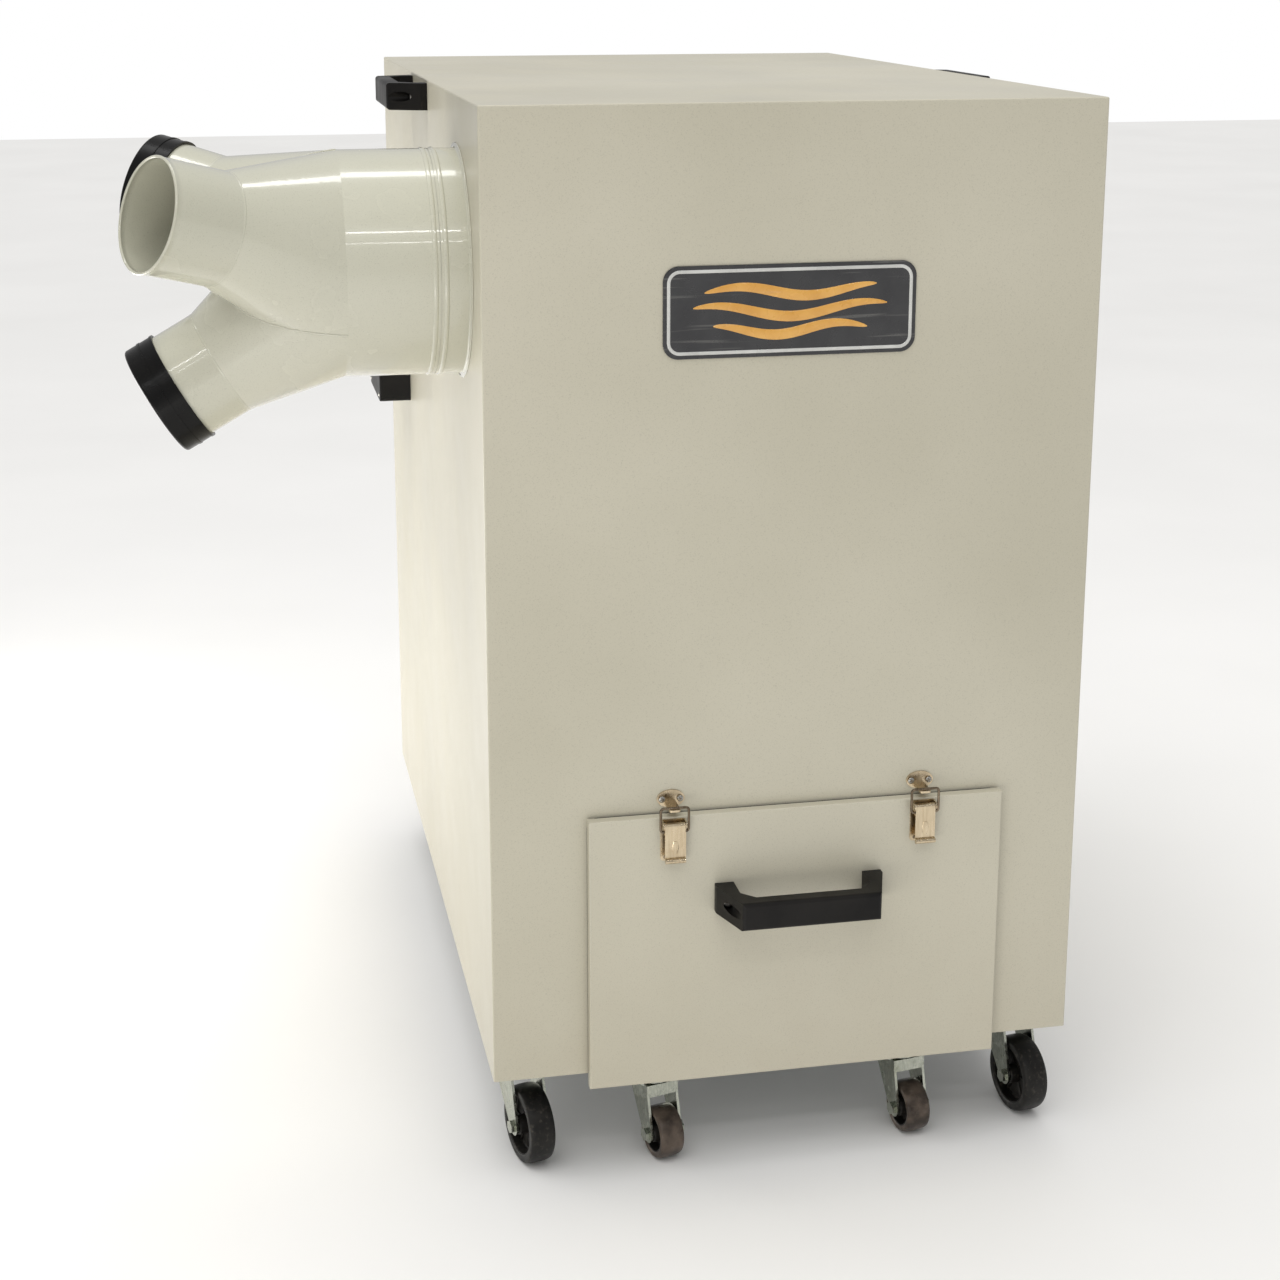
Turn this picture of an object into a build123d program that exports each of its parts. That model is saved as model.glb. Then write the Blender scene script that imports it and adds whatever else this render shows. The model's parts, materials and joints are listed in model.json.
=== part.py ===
"""Cabinet dust collector on casters, with a three-way inlet, cartridge filters and a dust drawer.

Row frame: millimetres, +Z up, floor at Z 0, the drawer faces -Y and the inlet wye stands out to -X.
The origin is on the floor under the middle of the whole machine's box.
"""
from build123d import *
import os
from math import cos, radians, sin

os.makedirs("parts", exist_ok=True)

# ------------------------------------------------------------------ driving dimensions
CAB_W, CAB_D, CAB_H = 564, 890, 900     # cabinet box
CASTER_H = 110                          # floor to the cabinet's underside
SHEET = 2.0                             # cabinet sheet
FOLD = 2.5                              # front and top plates, deep enough for the folded edge
FOLD_R = 1.8                            # outer radius of the folded edges
FIT = 0.3                               # gap between curved faces that slip over each other
RUN = 0.05                              # radial clearance of a pin or shaft in its bore

DUCT_R, DUCT_WALL = 103, 1.2            # 8 in inlet collar and wye barrel, outside radius
BRANCH_R = 50.8                         # 4 in branch, outside radius
INLET_BACK, INLET_DOWN = 155, 151       # inlet axis behind the front face, below the top
COLLAR_OUT, BARREL_OUT = 27, 109        # side face to the seam, and to the barrel's end
SPLAY = 30                              # branch axis to barrel axis, degrees
APEX_OUT = 68                           # where the branch axes meet, out from the side face
CONE_END, BRANCH_END = 174, 240         # along a branch axis from there
BRANCH_ROLLS = {"open": 150, "rear": 30, "lower": -90}   # about the barrel, from +Y towards +Z

CAP_START, CAP_SKIN = 214, 2.2          # cap's rim along the branch axis, cap's thickness
CAP_R = BRANCH_R + FIT + 1.6
CAP_END = BRANCH_END + FIT + CAP_SKIN

HANDLE_L, HANDLE_W = 160, 27
SIDE_HANDLE_OUT, DRAWER_HANDLE_OUT = 40, 52
HANDLE_SCREW = 71                       # screw centre from the handle's middle

DRAWER_X = 5                            # drawer's middle, right of the cabinet's
DRAWER_W, DRAWER_TOP, DRAWER_FOOT = 396, 366, 99
DRAWER_PROUD, SEAL_T = 12, 2.3
BIN_HALF, BIN_L, BIN_TOP = 186, 500, 348
BAY_HALF, BAY_TOP = 190.5, 372          # drawer opening and tunnel
LATCH_X = 119.5                         # latches either side of the drawer's middle

GRILLE_PROUD = 4                        # exhaust grille behind the rear panel

# ------------------------------------------------------------------ places worked out from them
REACH = APEX_OUT + CAP_END * cos(radians(SPLAY)) + CAP_R * sin(radians(SPLAY))
CX = (REACH - SIDE_HANDLE_OUT) / 2
CY = (DRAWER_PROUD + DRAWER_HANDLE_OUT - GRILLE_PROUD) / 2
LEFT, RIGHT = CX - CAB_W / 2, CX + CAB_W / 2
FRONT, REAR = CY - CAB_D / 2, CY + CAB_D / 2
BOTTOM, TOP = CASTER_H, CASTER_H + CAB_H
INLET_Y, INLET_Z = FRONT + INLET_BACK, TOP - INLET_DOWN
DX = CX + DRAWER_X
FACE = FRONT - DRAWER_PROUD             # drawer panel's outer face
TUBE_SHEET_Y = FRONT + 506              # front face of the filter plate
FAN_WALL_Y = TUBE_SHEET_Y + 54          # bulkhead that carries the fan
FAN_Z = 600


def save(name, part):
    """Labels a finished piece and writes it as its own file."""
    part.label = name
    export_step(part, f"parts/{name}.step")


def at_y(y):
    """Upright plane across the machine: x right, z up; extruding goes towards the front."""
    return Plane.XZ.offset(-y)


def rect(u0, u1, v0, v1, mode=Mode.ADD):
    """Rectangle between two corners of the current sketch."""
    with Locations(((u0 + u1) / 2, (v0 + v1) / 2)):
        Rectangle(u1 - u0, v1 - v0, mode=mode)


def slab(x0, x1, y0, y1, z0, z1, mode=Mode.ADD):
    """Block between two corners of the current part."""
    with Locations(((x0 + x1) / 2, (y0 + y1) / 2, (z0 + z1) / 2)):
        Box(x1 - x0, y1 - y0, z1 - z0, mode=mode)


def rod(radius, start, direction, length, mode=Mode.ADD):
    """Cylinder of the current part from a point along a direction."""
    with BuildSketch(Plane(origin=start, z_dir=direction)) as disc:
        Circle(radius)
    extrude(disc.sketch, amount=length, mode=mode)


# ------------------------------------------------------------------ fasteners
SCREW_R, SCREW_HEAD_R, SCREW_HEAD_H = 2.5, 4.6, 2.6
HOLE_R = SCREW_R + 0.1


def screw(seat, outward, length):
    """Socket button-head screw: seat is the head's underside, outward its axis out of the panel."""
    axis = Vector(*outward)
    with BuildPart() as one:
        rod(SCREW_HEAD_R, seat, outward, SCREW_HEAD_H)
        fillet(one.edges().sort_by(Axis(seat, outward))[-1], 1.6)
        with BuildSketch(Plane(origin=Vector(*seat) + axis * SCREW_HEAD_H, z_dir=outward)):
            RegularPolygon(1.7, 6)
        extrude(amount=-1.5, mode=Mode.SUBTRACT)
        rod(SCREW_R, seat, tuple(-axis), length)
    return one.part


def group(parts):
    """Identical pieces that share one node."""
    with BuildPart() as several:
        for one in parts:
            add(one)
    return several.part


FLANGE_W = 18
REAR_SCREW_Z = [BOTTOM + 60 + 260 * i for i in range(4)]
REAR_SCREW_X = [CX - 160, CX, CX + 160]
rear_screws = [(x, z) for x in (LEFT + 11, RIGHT - 11) for z in REAR_SCREW_Z]
rear_screws += [(x, TOP - 12) for x in REAR_SCREW_X]

# ------------------------------------------------------------------ cabinet panels
with BuildPart() as front_panel:
    with BuildSketch(at_y(FRONT + FOLD)):
        rect(LEFT, RIGHT, BOTTOM, TOP)
    extrude(amount=FOLD)
    face_edges = front_panel.faces().sort_by(Axis.Y)[0].edges().sort_by(Axis.Z)[1:]
    corners = front_panel.edges().filter_by(Axis.Y).group_by(Axis.Z)[-1]
    fillet(face_edges + corners, FOLD_R)
    with BuildSketch(at_y(FRONT + FOLD)):
        rect(DX - BAY_HALF, DX + BAY_HALF, BOTTOM, DRAWER_TOP - 8)
    extrude(amount=FOLD, mode=Mode.SUBTRACT)
save("front_panel", front_panel.part)


def side_panel(outer, inward, with_inlet):
    """Side sheet with its folded rear flange; outer is the outside face, inward +1 or -1."""
    inner = outer + inward * SHEET
    lip = inner + inward * FLANGE_W
    with BuildPart() as side:
        slab(*sorted((outer, inner)), FRONT + FOLD, REAR, BOTTOM, TOP - FOLD)
        slab(*sorted((inner, lip)), REAR - 2 * SHEET, REAR - SHEET, BOTTOM, TOP - FOLD - 22)
        with BuildSketch(at_y(REAR)):
            with Locations([(outer + inward * 11, z) for z in REAR_SCREW_Z]):
                Circle(HOLE_R)
        extrude(amount=2 * SHEET + 1, mode=Mode.SUBTRACT)
        with BuildSketch(Plane.YZ.offset(outer)):
            for y, z in SIDE_HANDLE_SCREWS:
                with Locations((y, z)):
                    Circle(HOLE_R)
            if with_inlet:
                with Locations((INLET_Y, INLET_Z)):
                    Circle(DUCT_R + 0.2)
        extrude(amount=inward * SHEET, mode=Mode.SUBTRACT)
    return side.part


SIDE_HANDLE_Y, SIDE_HANDLE_Z = CY + 31, TOP - 17.5
SIDE_HANDLE_SCREWS = [(SIDE_HANDLE_Y + s * HANDLE_SCREW, SIDE_HANDLE_Z) for s in (-1, 1)]
save("left_side_panel", side_panel(LEFT, 1, True))
save("right_side_panel", side_panel(RIGHT, -1, False))

with BuildPart() as top_panel:
    slab(LEFT, RIGHT, FRONT + FOLD, REAR, TOP - FOLD, TOP)
    fillet(top_panel.edges().filter_by(Axis.Y).group_by(Axis.Z)[-1], FOLD_R)
    slab(LEFT + 20, RIGHT - 20, REAR - 2 * SHEET, REAR - SHEET, TOP - FOLD - 20, TOP - FOLD)
    with BuildSketch(at_y(REAR)):
        with Locations([(x, TOP - 12) for x in REAR_SCREW_X]):
            Circle(HOLE_R)
    extrude(amount=2 * SHEET + 1, mode=Mode.SUBTRACT)
save("top_panel", top_panel.part)

GRILLE_HALF, GRILLE_LOW, GRILLE_HIGH = 185, TOP - 260, TOP - 70
with BuildPart() as rear_panel:
    with BuildSketch(at_y(REAR)):
        rect(LEFT + SHEET + 0.5, RIGHT - SHEET - 0.5, BOTTOM, TOP - FOLD - 0.5)
        with Locations(rear_screws):
            Circle(HOLE_R, mode=Mode.SUBTRACT)
        rect(CX - GRILLE_HALF, CX + GRILLE_HALF, GRILLE_LOW, GRILLE_HIGH, Mode.SUBTRACT)
    extrude(amount=SHEET)
save("rear_panel", rear_panel.part)

SLAT_N, RIM, COLLAR_T = 9, 14, 2
GRILLE_BACK = REAR - 9                  # the grille's collar reaches in through the panel
SLAT_PITCH = (GRILLE_HIGH - GRILLE_LOW - 12) / SLAT_N
with BuildPart() as exhaust_grille:
    with BuildSketch(at_y(REAR + GRILLE_PROUD)):
        rect(CX - GRILLE_HALF - RIM, CX + GRILLE_HALF + RIM, GRILLE_LOW - RIM, GRILLE_HIGH + RIM)
    extrude(amount=GRILLE_PROUD)
    fillet(exhaust_grille.faces().sort_by(Axis.Y)[-1].edges(), 2)
    collar = (GRILLE_HALF - 0.5, GRILLE_LOW + 0.5, GRILLE_HIGH - 0.5)
    slab(CX - collar[0], CX + collar[0], GRILLE_BACK, REAR + 1, collar[1], collar[2])
    slab(CX - collar[0] + COLLAR_T, CX + collar[0] - COLLAR_T, GRILLE_BACK - 1,
         REAR + GRILLE_PROUD + 1, collar[1] + COLLAR_T, collar[2] - COLLAR_T, Mode.SUBTRACT)
    for i in range(SLAT_N):
        low = GRILLE_LOW + 4 + i * SLAT_PITCH
        with BuildSketch(Plane.YZ.offset(CX - GRILLE_HALF + 1.5)):
            with BuildLine():
                Polyline((REAR - 7, low + 11), (REAR + 3, low), (REAR + 3, low + 1.6),
                         (REAR - 7, low + 12.6), close=True)
            make_face()
        extrude(amount=2 * GRILLE_HALF - 3)
    slab(CX - 1.5, CX + 1.5, REAR - 8.4, REAR - 3, collar[1] + 1, collar[2] - 1)
save("exhaust_grille", exhaust_grille.part)

BASE_T = 3
with BuildPart() as base_frame:
    slab(LEFT + SHEET, RIGHT - SHEET, FRONT + FOLD, REAR - 2 * SHEET - 0.5, BOTTOM, BOTTOM + BASE_T)
    slab(DX - BAY_HALF, DX + BAY_HALF, FRONT, TUBE_SHEET_Y, BOTTOM, BOTTOM + BASE_T, Mode.SUBTRACT)
save("base_frame", base_frame.part)

LINER = 1.5
with BuildPart() as drawer_tunnel:
    for side in (-1, 1):
        x0, x1 = sorted((DX + side * BAY_HALF, DX + side * (BAY_HALF + LINER)))
        slab(x0, x1, FRONT + FOLD, TUBE_SHEET_Y, BOTTOM + BASE_T, BAY_TOP)
save("drawer_tunnel", drawer_tunnel.part)

HOPPER_RISE = 70
with BuildPart() as hopper_plates:
    for side, wall in ((-1, LEFT + SHEET), (1, RIGHT - SHEET)):
        lip = DX + side * BAY_HALF
        with BuildSketch(at_y(TUBE_SHEET_Y)):
            with BuildLine():
                Polyline((lip, BAY_TOP), (wall, BAY_TOP + HOPPER_RISE),
                         (wall, BAY_TOP + HOPPER_RISE + 2), (lip, BAY_TOP + 2), close=True)
            make_face()
        extrude(amount=TUBE_SHEET_Y - FRONT - FOLD)
save("hopper_plates", hopper_plates.part)

with BuildPart() as drawer_seal:
    with BuildSketch(at_y(FRONT)):
        rect(DX - DRAWER_W / 2, DX + DRAWER_W / 2, BOTTOM, DRAWER_TOP)
        rect(DX - BAY_HALF, DX + BAY_HALF, BOTTOM - 1, DRAWER_TOP - 8, Mode.SUBTRACT)
    extrude(amount=SEAL_T)
save("drawer_seal", drawer_seal.part)

PLATE_X, PLATE_Z, PLATE_W, PLATE_H = CX - 8, TOP - 181, 230, 82
with BuildPart() as nameplate:
    with BuildSketch(at_y(FRONT)):
        with Locations((PLATE_X, PLATE_Z)):
            RectangleRounded(PLATE_W, PLATE_H, 14)
    extrude(amount=1.6)
    fillet(nameplate.faces().sort_by(Axis.Y)[0].edges(), 0.6)
save("nameplate", nameplate.part)

# ------------------------------------------------------------------ inlet collar and wye
COLLAR_IN = 12                          # collar inside the cabinet
SPIGOT = 34                             # collar inside the wye's barrel
with BuildPart() as inlet_collar:
    centre = (LEFT + SHEET + COLLAR_IN, INLET_Y, INLET_Z)
    rod(DUCT_R, centre, (-1, 0, 0), SHEET + COLLAR_IN + COLLAR_OUT)
    rod(DUCT_R - DUCT_WALL - FIT, centre, (-1, 0, 0), SHEET + COLLAR_IN + COLLAR_OUT + SPIGOT)
    rod(DUCT_R - 2 * DUCT_WALL - FIT, centre, (-1, 0, 0), 100, Mode.SUBTRACT)
save("inlet_collar", inlet_collar.part)

APEX = Vector(LEFT - APEX_OUT, INLET_Y, INLET_Z)


def branch_plane(roll, along, centre=None):
    """Plane across a branch, this far along it, or across the barrel where a centre is given."""
    out = Vector(-cos(radians(SPLAY)),
                 sin(radians(SPLAY)) * cos(radians(roll)),
                 sin(radians(SPLAY)) * sin(radians(roll)))
    aside = Vector(-1, 0, 0).cross(out)
    if centre is not None:
        return Plane(origin=centre, x_dir=aside, z_dir=(-1, 0, 0))
    return Plane(origin=APEX + out * along, x_dir=aside, z_dir=out)


def wye_solid(skin):
    """The wye's barrel, cones and stubs as one solid, drawn in by a skin."""
    seam = Vector(LEFT - COLLAR_OUT - FIT, INLET_Y, INLET_Z)
    barrel_end = Vector(LEFT - BARREL_OUT, INLET_Y, INLET_Z)
    with BuildPart() as body:
        rod(DUCT_R - skin, seam, (-1, 0, 0), BARREL_OUT - COLLAR_OUT - FIT)
        for roll in BRANCH_ROLLS.values():
            with BuildSketch(branch_plane(roll, 0, barrel_end)):
                Circle(DUCT_R - skin)
            with BuildSketch(branch_plane(roll, CONE_END)):
                Circle(BRANCH_R - skin)
            loft(ruled=True)
            with BuildSketch(branch_plane(roll, CONE_END)):
                Circle(BRANCH_R - skin)
            extrude(amount=BRANCH_END - CONE_END)
    return body.part


with BuildPart() as inlet_wye:
    add(wye_solid(0))
    add(wye_solid(DUCT_WALL), mode=Mode.SUBTRACT)
save("inlet_wye", inlet_wye.part)


def branch_cap(roll):
    """Plastic cap that slips over a branch, with a rolled rim and two grip ribs."""
    with BuildPart() as cap:
        with BuildSketch(branch_plane(roll, CAP_START)):
            Circle(CAP_R)
        extrude(amount=CAP_END - CAP_START)
        axis = Axis(tuple(branch_plane(roll, CAP_START).origin),
                    tuple(branch_plane(roll, CAP_START).z_dir))
        fillet(cap.edges().sort_by(axis)[-1], 2.5)
        with BuildSketch(branch_plane(roll, CAP_START)):
            Circle(BRANCH_R + FIT)
        extrude(amount=BRANCH_END + FIT - CAP_START, mode=Mode.SUBTRACT)
        for along in (CAP_START, CAP_START + 13):
            with BuildSketch(branch_plane(roll, along)):
                Circle(CAP_R + 0.6)
                Circle(CAP_R - 0.5, mode=Mode.SUBTRACT)
            extrude(amount=2.4)
    return cap.part


save("lower_branch_cap", branch_cap(BRANCH_ROLLS["lower"]))
save("rear_branch_cap", branch_cap(BRANCH_ROLLS["rear"]))

# ------------------------------------------------------------------ handles
SCREW_SEAT = 14                         # screw head's seat, out from the panel


def mirrored(points):
    """The same points on the other side of the middle, in reverse order."""
    return [(-x, y) for x, y in reversed(points)]


def bridge_handle(out):
    """Moulded bridge handle along X, standing out to -Y from Y 0, with counterbored feet."""
    half = HANDLE_L / 2
    outer = [(half, 0), (half, -7), (half - 15, -out)]
    inner = [(half - 30, -out + 14), (half - 18, -out + 26), (half - 18, 0)]
    outline = outer + mirrored(outer) + mirrored(inner) + inner
    with BuildPart() as handle:
        with BuildSketch(Plane.XY.offset(-HANDLE_W / 2)):
            with BuildLine():
                Polyline(*outline, close=True)
            make_face()
        extrude(amount=HANDLE_W)
        long_edges = handle.edges().group_by(Axis.Y)[0]
        fillet(long_edges, 3.5)
        for x in (-HANDLE_SCREW, HANDLE_SCREW):
            rod(HOLE_R, (x, 1, 0), (0, -1, 0), out, Mode.SUBTRACT)
            rod(SCREW_HEAD_R + 0.4, (x, -SCREW_SEAT, 0), (0, -1, 0), out, Mode.SUBTRACT)
    return handle.part


grip = bridge_handle(SIDE_HANDLE_OUT)
DRAWER_HANDLE_Z = 283.5
save("drawer_handle", Pos(DX, FACE, DRAWER_HANDLE_Z) * bridge_handle(DRAWER_HANDLE_OUT))
save("side_handles", group([
    Pos(LEFT, SIDE_HANDLE_Y, SIDE_HANDLE_Z) * Rot(Z=-90) * grip,
    Pos(RIGHT, SIDE_HANDLE_Y, SIDE_HANDLE_Z) * Rot(Z=90) * grip,
]))
save("panel_screws", group(
    [screw((LEFT - SCREW_SEAT, y, z), (-1, 0, 0), SCREW_SEAT + SHEET + 4)
     for y, z in SIDE_HANDLE_SCREWS]
    + [screw((RIGHT + SCREW_SEAT, y, z), (1, 0, 0), SCREW_SEAT + SHEET + 4)
       for y, z in SIDE_HANDLE_SCREWS]
    + [screw((x, REAR, z), (0, 1, 0), 8) for x, z in rear_screws]
))
DRAWER_SCREWS = [(DX + s * HANDLE_SCREW, DRAWER_HANDLE_Z) for s in (-1, 1)]
save("drawer_handle_screws", group(
    [screw((x, FACE - SCREW_SEAT, z), (0, -1, 0), SCREW_SEAT + 2 * SHEET + 2)
     for x, z in DRAWER_SCREWS]
))

# ------------------------------------------------------------------ switch box on the left side
BOX_Y0, BOX_Y1, BOX_Z0, BOX_Z1, BOX_OUT, BOX_SKIN = CY + 205, CY + 330, 629, 713, 36, 2.5
BUTTON_R, BUTTON_OUT, BUTTON_L = 12, 4.5, 12
BUTTON_Y = {"start_button": BOX_Y0 + 36, "stop_button": BOX_Y0 + 84}
BUTTON_Z = (BOX_Z0 + BOX_Z1) / 2
GLAND_Z = BUTTON_Z
with BuildPart() as switch_box:
    slab(LEFT - BOX_OUT, LEFT, BOX_Y0, BOX_Y1, BOX_Z0, BOX_Z1)
    fillet(switch_box.edges().filter_by(Axis.X), 6)
    fillet(switch_box.faces().sort_by(Axis.X)[0].edges(), 2)
    slab(LEFT - BOX_OUT + BOX_SKIN, LEFT, BOX_Y0 + BOX_SKIN, BOX_Y1 - BOX_SKIN,
         BOX_Z0 + BOX_SKIN, BOX_Z1 - BOX_SKIN, Mode.SUBTRACT)
    for y in BUTTON_Y.values():
        rod(BUTTON_R + 3, (LEFT - BOX_OUT, y, BUTTON_Z), (-1, 0, 0), 1.5)
        rod(BUTTON_R + FIT, (LEFT, y, BUTTON_Z), (-1, 0, 0), BOX_OUT + 2, Mode.SUBTRACT)
    rod(8.2, (LEFT - BOX_OUT / 2, BOX_Y1 - 5, GLAND_Z), (0, 1, 0), 10, Mode.SUBTRACT)
save("switch_box", switch_box.part)

for button, y in BUTTON_Y.items():
    with BuildPart() as push:
        rod(BUTTON_R, (LEFT - BOX_OUT - BUTTON_OUT, y, BUTTON_Z), (1, 0, 0), BUTTON_L)
        fillet(push.edges().sort_by(Axis.X)[0], 1.5)
    save(button, push.part)

with BuildPart() as cable_gland:
    gland_x = LEFT - BOX_OUT / 2
    rod(8, (gland_x, BOX_Y1 - 6, GLAND_Z), (0, 1, 0), 16)
    with BuildSketch(Plane(origin=(gland_x, BOX_Y1, GLAND_Z), z_dir=(0, 1, 0))):
        RegularPolygon(11, 6)
    extrude(amount=6)
    rod(9.5, (gland_x, BOX_Y1 + 6, GLAND_Z), (0, 1, 0), 14)
    fillet(cable_gland.edges().sort_by(Axis.Y)[-1], 3)
    rod(4.5, (gland_x, BOX_Y1 - 10, GLAND_Z), (0, 1, 0), 40, Mode.SUBTRACT)
save("cable_gland", cable_gland.part)

# ------------------------------------------------------------------ filters
FILTER_Z, FILTER_APART, MEDIA_L = 580, 125, 330
PLEATS, PLEAT_R, ROOT_R, CORE_R = 72, 106, 92, 72
END_CAP_T, END_CAP_R = 11, 110
FILTERS = [(CX - FILTER_APART, FILTER_Z), (CX + FILTER_APART, FILTER_Z)]
MEDIA_Y = TUBE_SHEET_Y - END_CAP_T

with BuildPart() as tube_sheet:
    with BuildSketch(at_y(TUBE_SHEET_Y + 3)):
        rect(LEFT + SHEET, RIGHT - SHEET, BOTTOM + BASE_T, TOP - FOLD)
        with Locations(FILTERS):
            Circle(CORE_R - 4, mode=Mode.SUBTRACT)
        for x, z in FILTERS:
            rect(x - CORE_R, x + CORE_R, z - 11, z + 11)
        with Locations(FILTERS):
            Circle(5.1, mode=Mode.SUBTRACT)
    extrude(amount=3)
save("tube_sheet", tube_sheet.part)

with BuildPart() as filter_media:
    with BuildSketch(at_y(MEDIA_Y)):
        with Locations(FILTERS):
            with BuildLine(mode=Mode.PRIVATE) as pleats:
                Polyline(*[((PLEAT_R if i % 2 else ROOT_R) * cos(radians(180 * i / PLEATS)),
                            (PLEAT_R if i % 2 else ROOT_R) * sin(radians(180 * i / PLEATS)))
                           for i in range(2 * PLEATS)], close=True)
            add(make_face(pleats.edges(), mode=Mode.PRIVATE))
            Circle(CORE_R, mode=Mode.SUBTRACT)
    extrude(amount=MEDIA_L)
save("filter_media", filter_media.part)

with BuildPart() as filter_end_caps:
    with BuildSketch(at_y(TUBE_SHEET_Y)):
        with Locations(FILTERS):
            Circle(END_CAP_R)
            Circle(CORE_R - 4, mode=Mode.SUBTRACT)
    extrude(amount=END_CAP_T)
    with BuildSketch(at_y(MEDIA_Y - MEDIA_L)):
        with Locations(FILTERS):
            Circle(END_CAP_R)
            Circle(5.1, mode=Mode.SUBTRACT)
    extrude(amount=END_CAP_T)
save("filter_end_caps", filter_end_caps.part)

with BuildPart() as filter_tie_rods:
    for x, z in FILTERS:
        rod_front = MEDIA_Y - MEDIA_L - END_CAP_T
        rod(5, (x, rod_front - 12, z), (0, 1, 0), TUBE_SHEET_Y + 3 - rod_front + 12)
        with BuildSketch(at_y(rod_front)):
            with Locations((x, z)):
                RegularPolygon(9, 6)
        extrude(amount=8)
save("filter_tie_rods", filter_tie_rods.part)

# A perforated plate that hangs in front of the inlet and throws sparks and chips down.
BAFFLE_X = LEFT + 190
with BuildPart() as spark_baffle:
    with BuildSketch(Plane.YZ.offset(BAFFLE_X)):
        rect(FRONT + 20, FRONT + 330, 725, TOP - FOLD)
        with Locations((INLET_Y + 20, INLET_Z - 10)):
            with GridLocations(32, 32, 8, 7):
                Circle(9, mode=Mode.SUBTRACT)
    extrude(amount=2)
    slab(BAFFLE_X + 2, BAFFLE_X + 22, FRONT + 20, FRONT + 330, TOP - FOLD - 2, TOP - FOLD)
save("spark_baffle", spark_baffle.part)

# ------------------------------------------------------------------ fan
FAN_INLET_R, IMPELLER_R, VOLUTE_W, SCROLL_MIN, SCROLL_MAX = 92, 150, 100, 165, 240
TONGUE, OUTLET_UP = 50, 270
VOLUTE_SKIN = 1.5
with BuildPart() as fan_bulkhead:
    with BuildSketch(at_y(FAN_WALL_Y + 3)):
        rect(LEFT + SHEET, RIGHT - SHEET, BOTTOM + BASE_T, TOP - FOLD)
        with Locations((CX, FAN_Z)):
            Circle(FAN_INLET_R, mode=Mode.SUBTRACT)
    extrude(amount=3)
    with BuildSketch(Plane(origin=(CX, FAN_WALL_Y, FAN_Z), x_dir=(1, 0, 0), z_dir=(0, 0, 1))):
        with BuildLine():
            mouth = CenterArc((FAN_INLET_R + 20, 0), 20, 180, 90)
            inner = CenterArc((FAN_INLET_R + 20, 0), 17.5, 180, 90)
            Line(mouth @ 0, inner @ 0)
            Line(mouth @ 1, inner @ 1)
        make_face()
    revolve(axis=Axis((CX, FAN_WALL_Y, FAN_Z), (0, 1, 0)))
save("fan_bulkhead", fan_bulkhead.part)


def scroll(y, length, skin, overshoot):
    """The volute's outline drawn in by a skin, extruded towards the front."""
    sweep = 360 - TONGUE
    points = []
    for i in range(17):
        angle = TONGUE + sweep * i / 16
        r = SCROLL_MIN + (SCROLL_MAX - SCROLL_MIN) * (angle - TONGUE) / sweep - skin
        points.append((CX + r * cos(radians(angle)), FAN_Z + r * sin(radians(angle))))
    top = FAN_Z + OUTLET_UP + overshoot
    with BuildSketch(at_y(y)) as outline:
        with BuildLine():
            Spline(*points)
            Polyline(points[-1], (points[-1][0], top), (points[0][0], top), points[0])
        make_face()
    extrude(outline.sketch, amount=length, mode=Mode.SUBTRACT if skin else Mode.ADD)


VOLUTE_Y = FAN_WALL_Y + 3
with BuildPart() as fan_volute:
    scroll(VOLUTE_Y + VOLUTE_W, VOLUTE_W, 0, 0)
    scroll(VOLUTE_Y + VOLUTE_W - VOLUTE_SKIN, VOLUTE_W - 2 * VOLUTE_SKIN, VOLUTE_SKIN, 5)
    rod(FAN_INLET_R + 22, (CX, VOLUTE_Y - 1, FAN_Z), (0, 1, 0), 5, Mode.SUBTRACT)
    rod(30, (CX, VOLUTE_Y, FAN_Z), (0, 1, 0), VOLUTE_W + 5, Mode.SUBTRACT)
save("fan_volute", fan_volute.part)

SHAFT_R = 12
MOTOR_Y = VOLUTE_Y + VOLUTE_W
BELL_T, STATOR_L, MOTOR_R = 22, 110, 84
with BuildPart() as impeller:
    back = VOLUTE_Y + 82
    rod(IMPELLER_R, (CX, back, FAN_Z), (0, -1, 0), 2)
    rod(28, (CX, back, FAN_Z), (0, -1, 0), 40)
    with BuildSketch(at_y(back - 2)):
        with Locations((CX, FAN_Z)):
            with PolarLocations(108, 10):
                Rectangle(86, 2.5, rotation=38)
    extrude(amount=48)
    with BuildSketch(at_y(back - 50)):
        with Locations((CX, FAN_Z)):
            Circle(IMPELLER_R)
            Circle(FAN_INLET_R + 2, mode=Mode.SUBTRACT)
    extrude(amount=2)
    rod(SHAFT_R, (CX, back + 5, FAN_Z), (0, -1, 0), 60, Mode.SUBTRACT)
    with BuildSketch(at_y(back)):
        with Locations((CX, FAN_Z)):
            Circle(IMPELLER_R + 40)
            Circle(IMPELLER_R, mode=Mode.SUBTRACT)
    extrude(amount=60, mode=Mode.SUBTRACT)
save("impeller", impeller.part)

with BuildPart() as motor_shaft:
    shaft_start = VOLUTE_Y + 40
    rod(SHAFT_R - 0.02, (CX, shaft_start, FAN_Z), (0, 1, 0),
        MOTOR_Y + 2 * BELL_T + STATOR_L - 6 - shaft_start)
    rod(48, (CX, MOTOR_Y + BELL_T + 15, FAN_Z), (0, 1, 0), STATOR_L - 30)
save("motor_shaft", motor_shaft.part)

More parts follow.
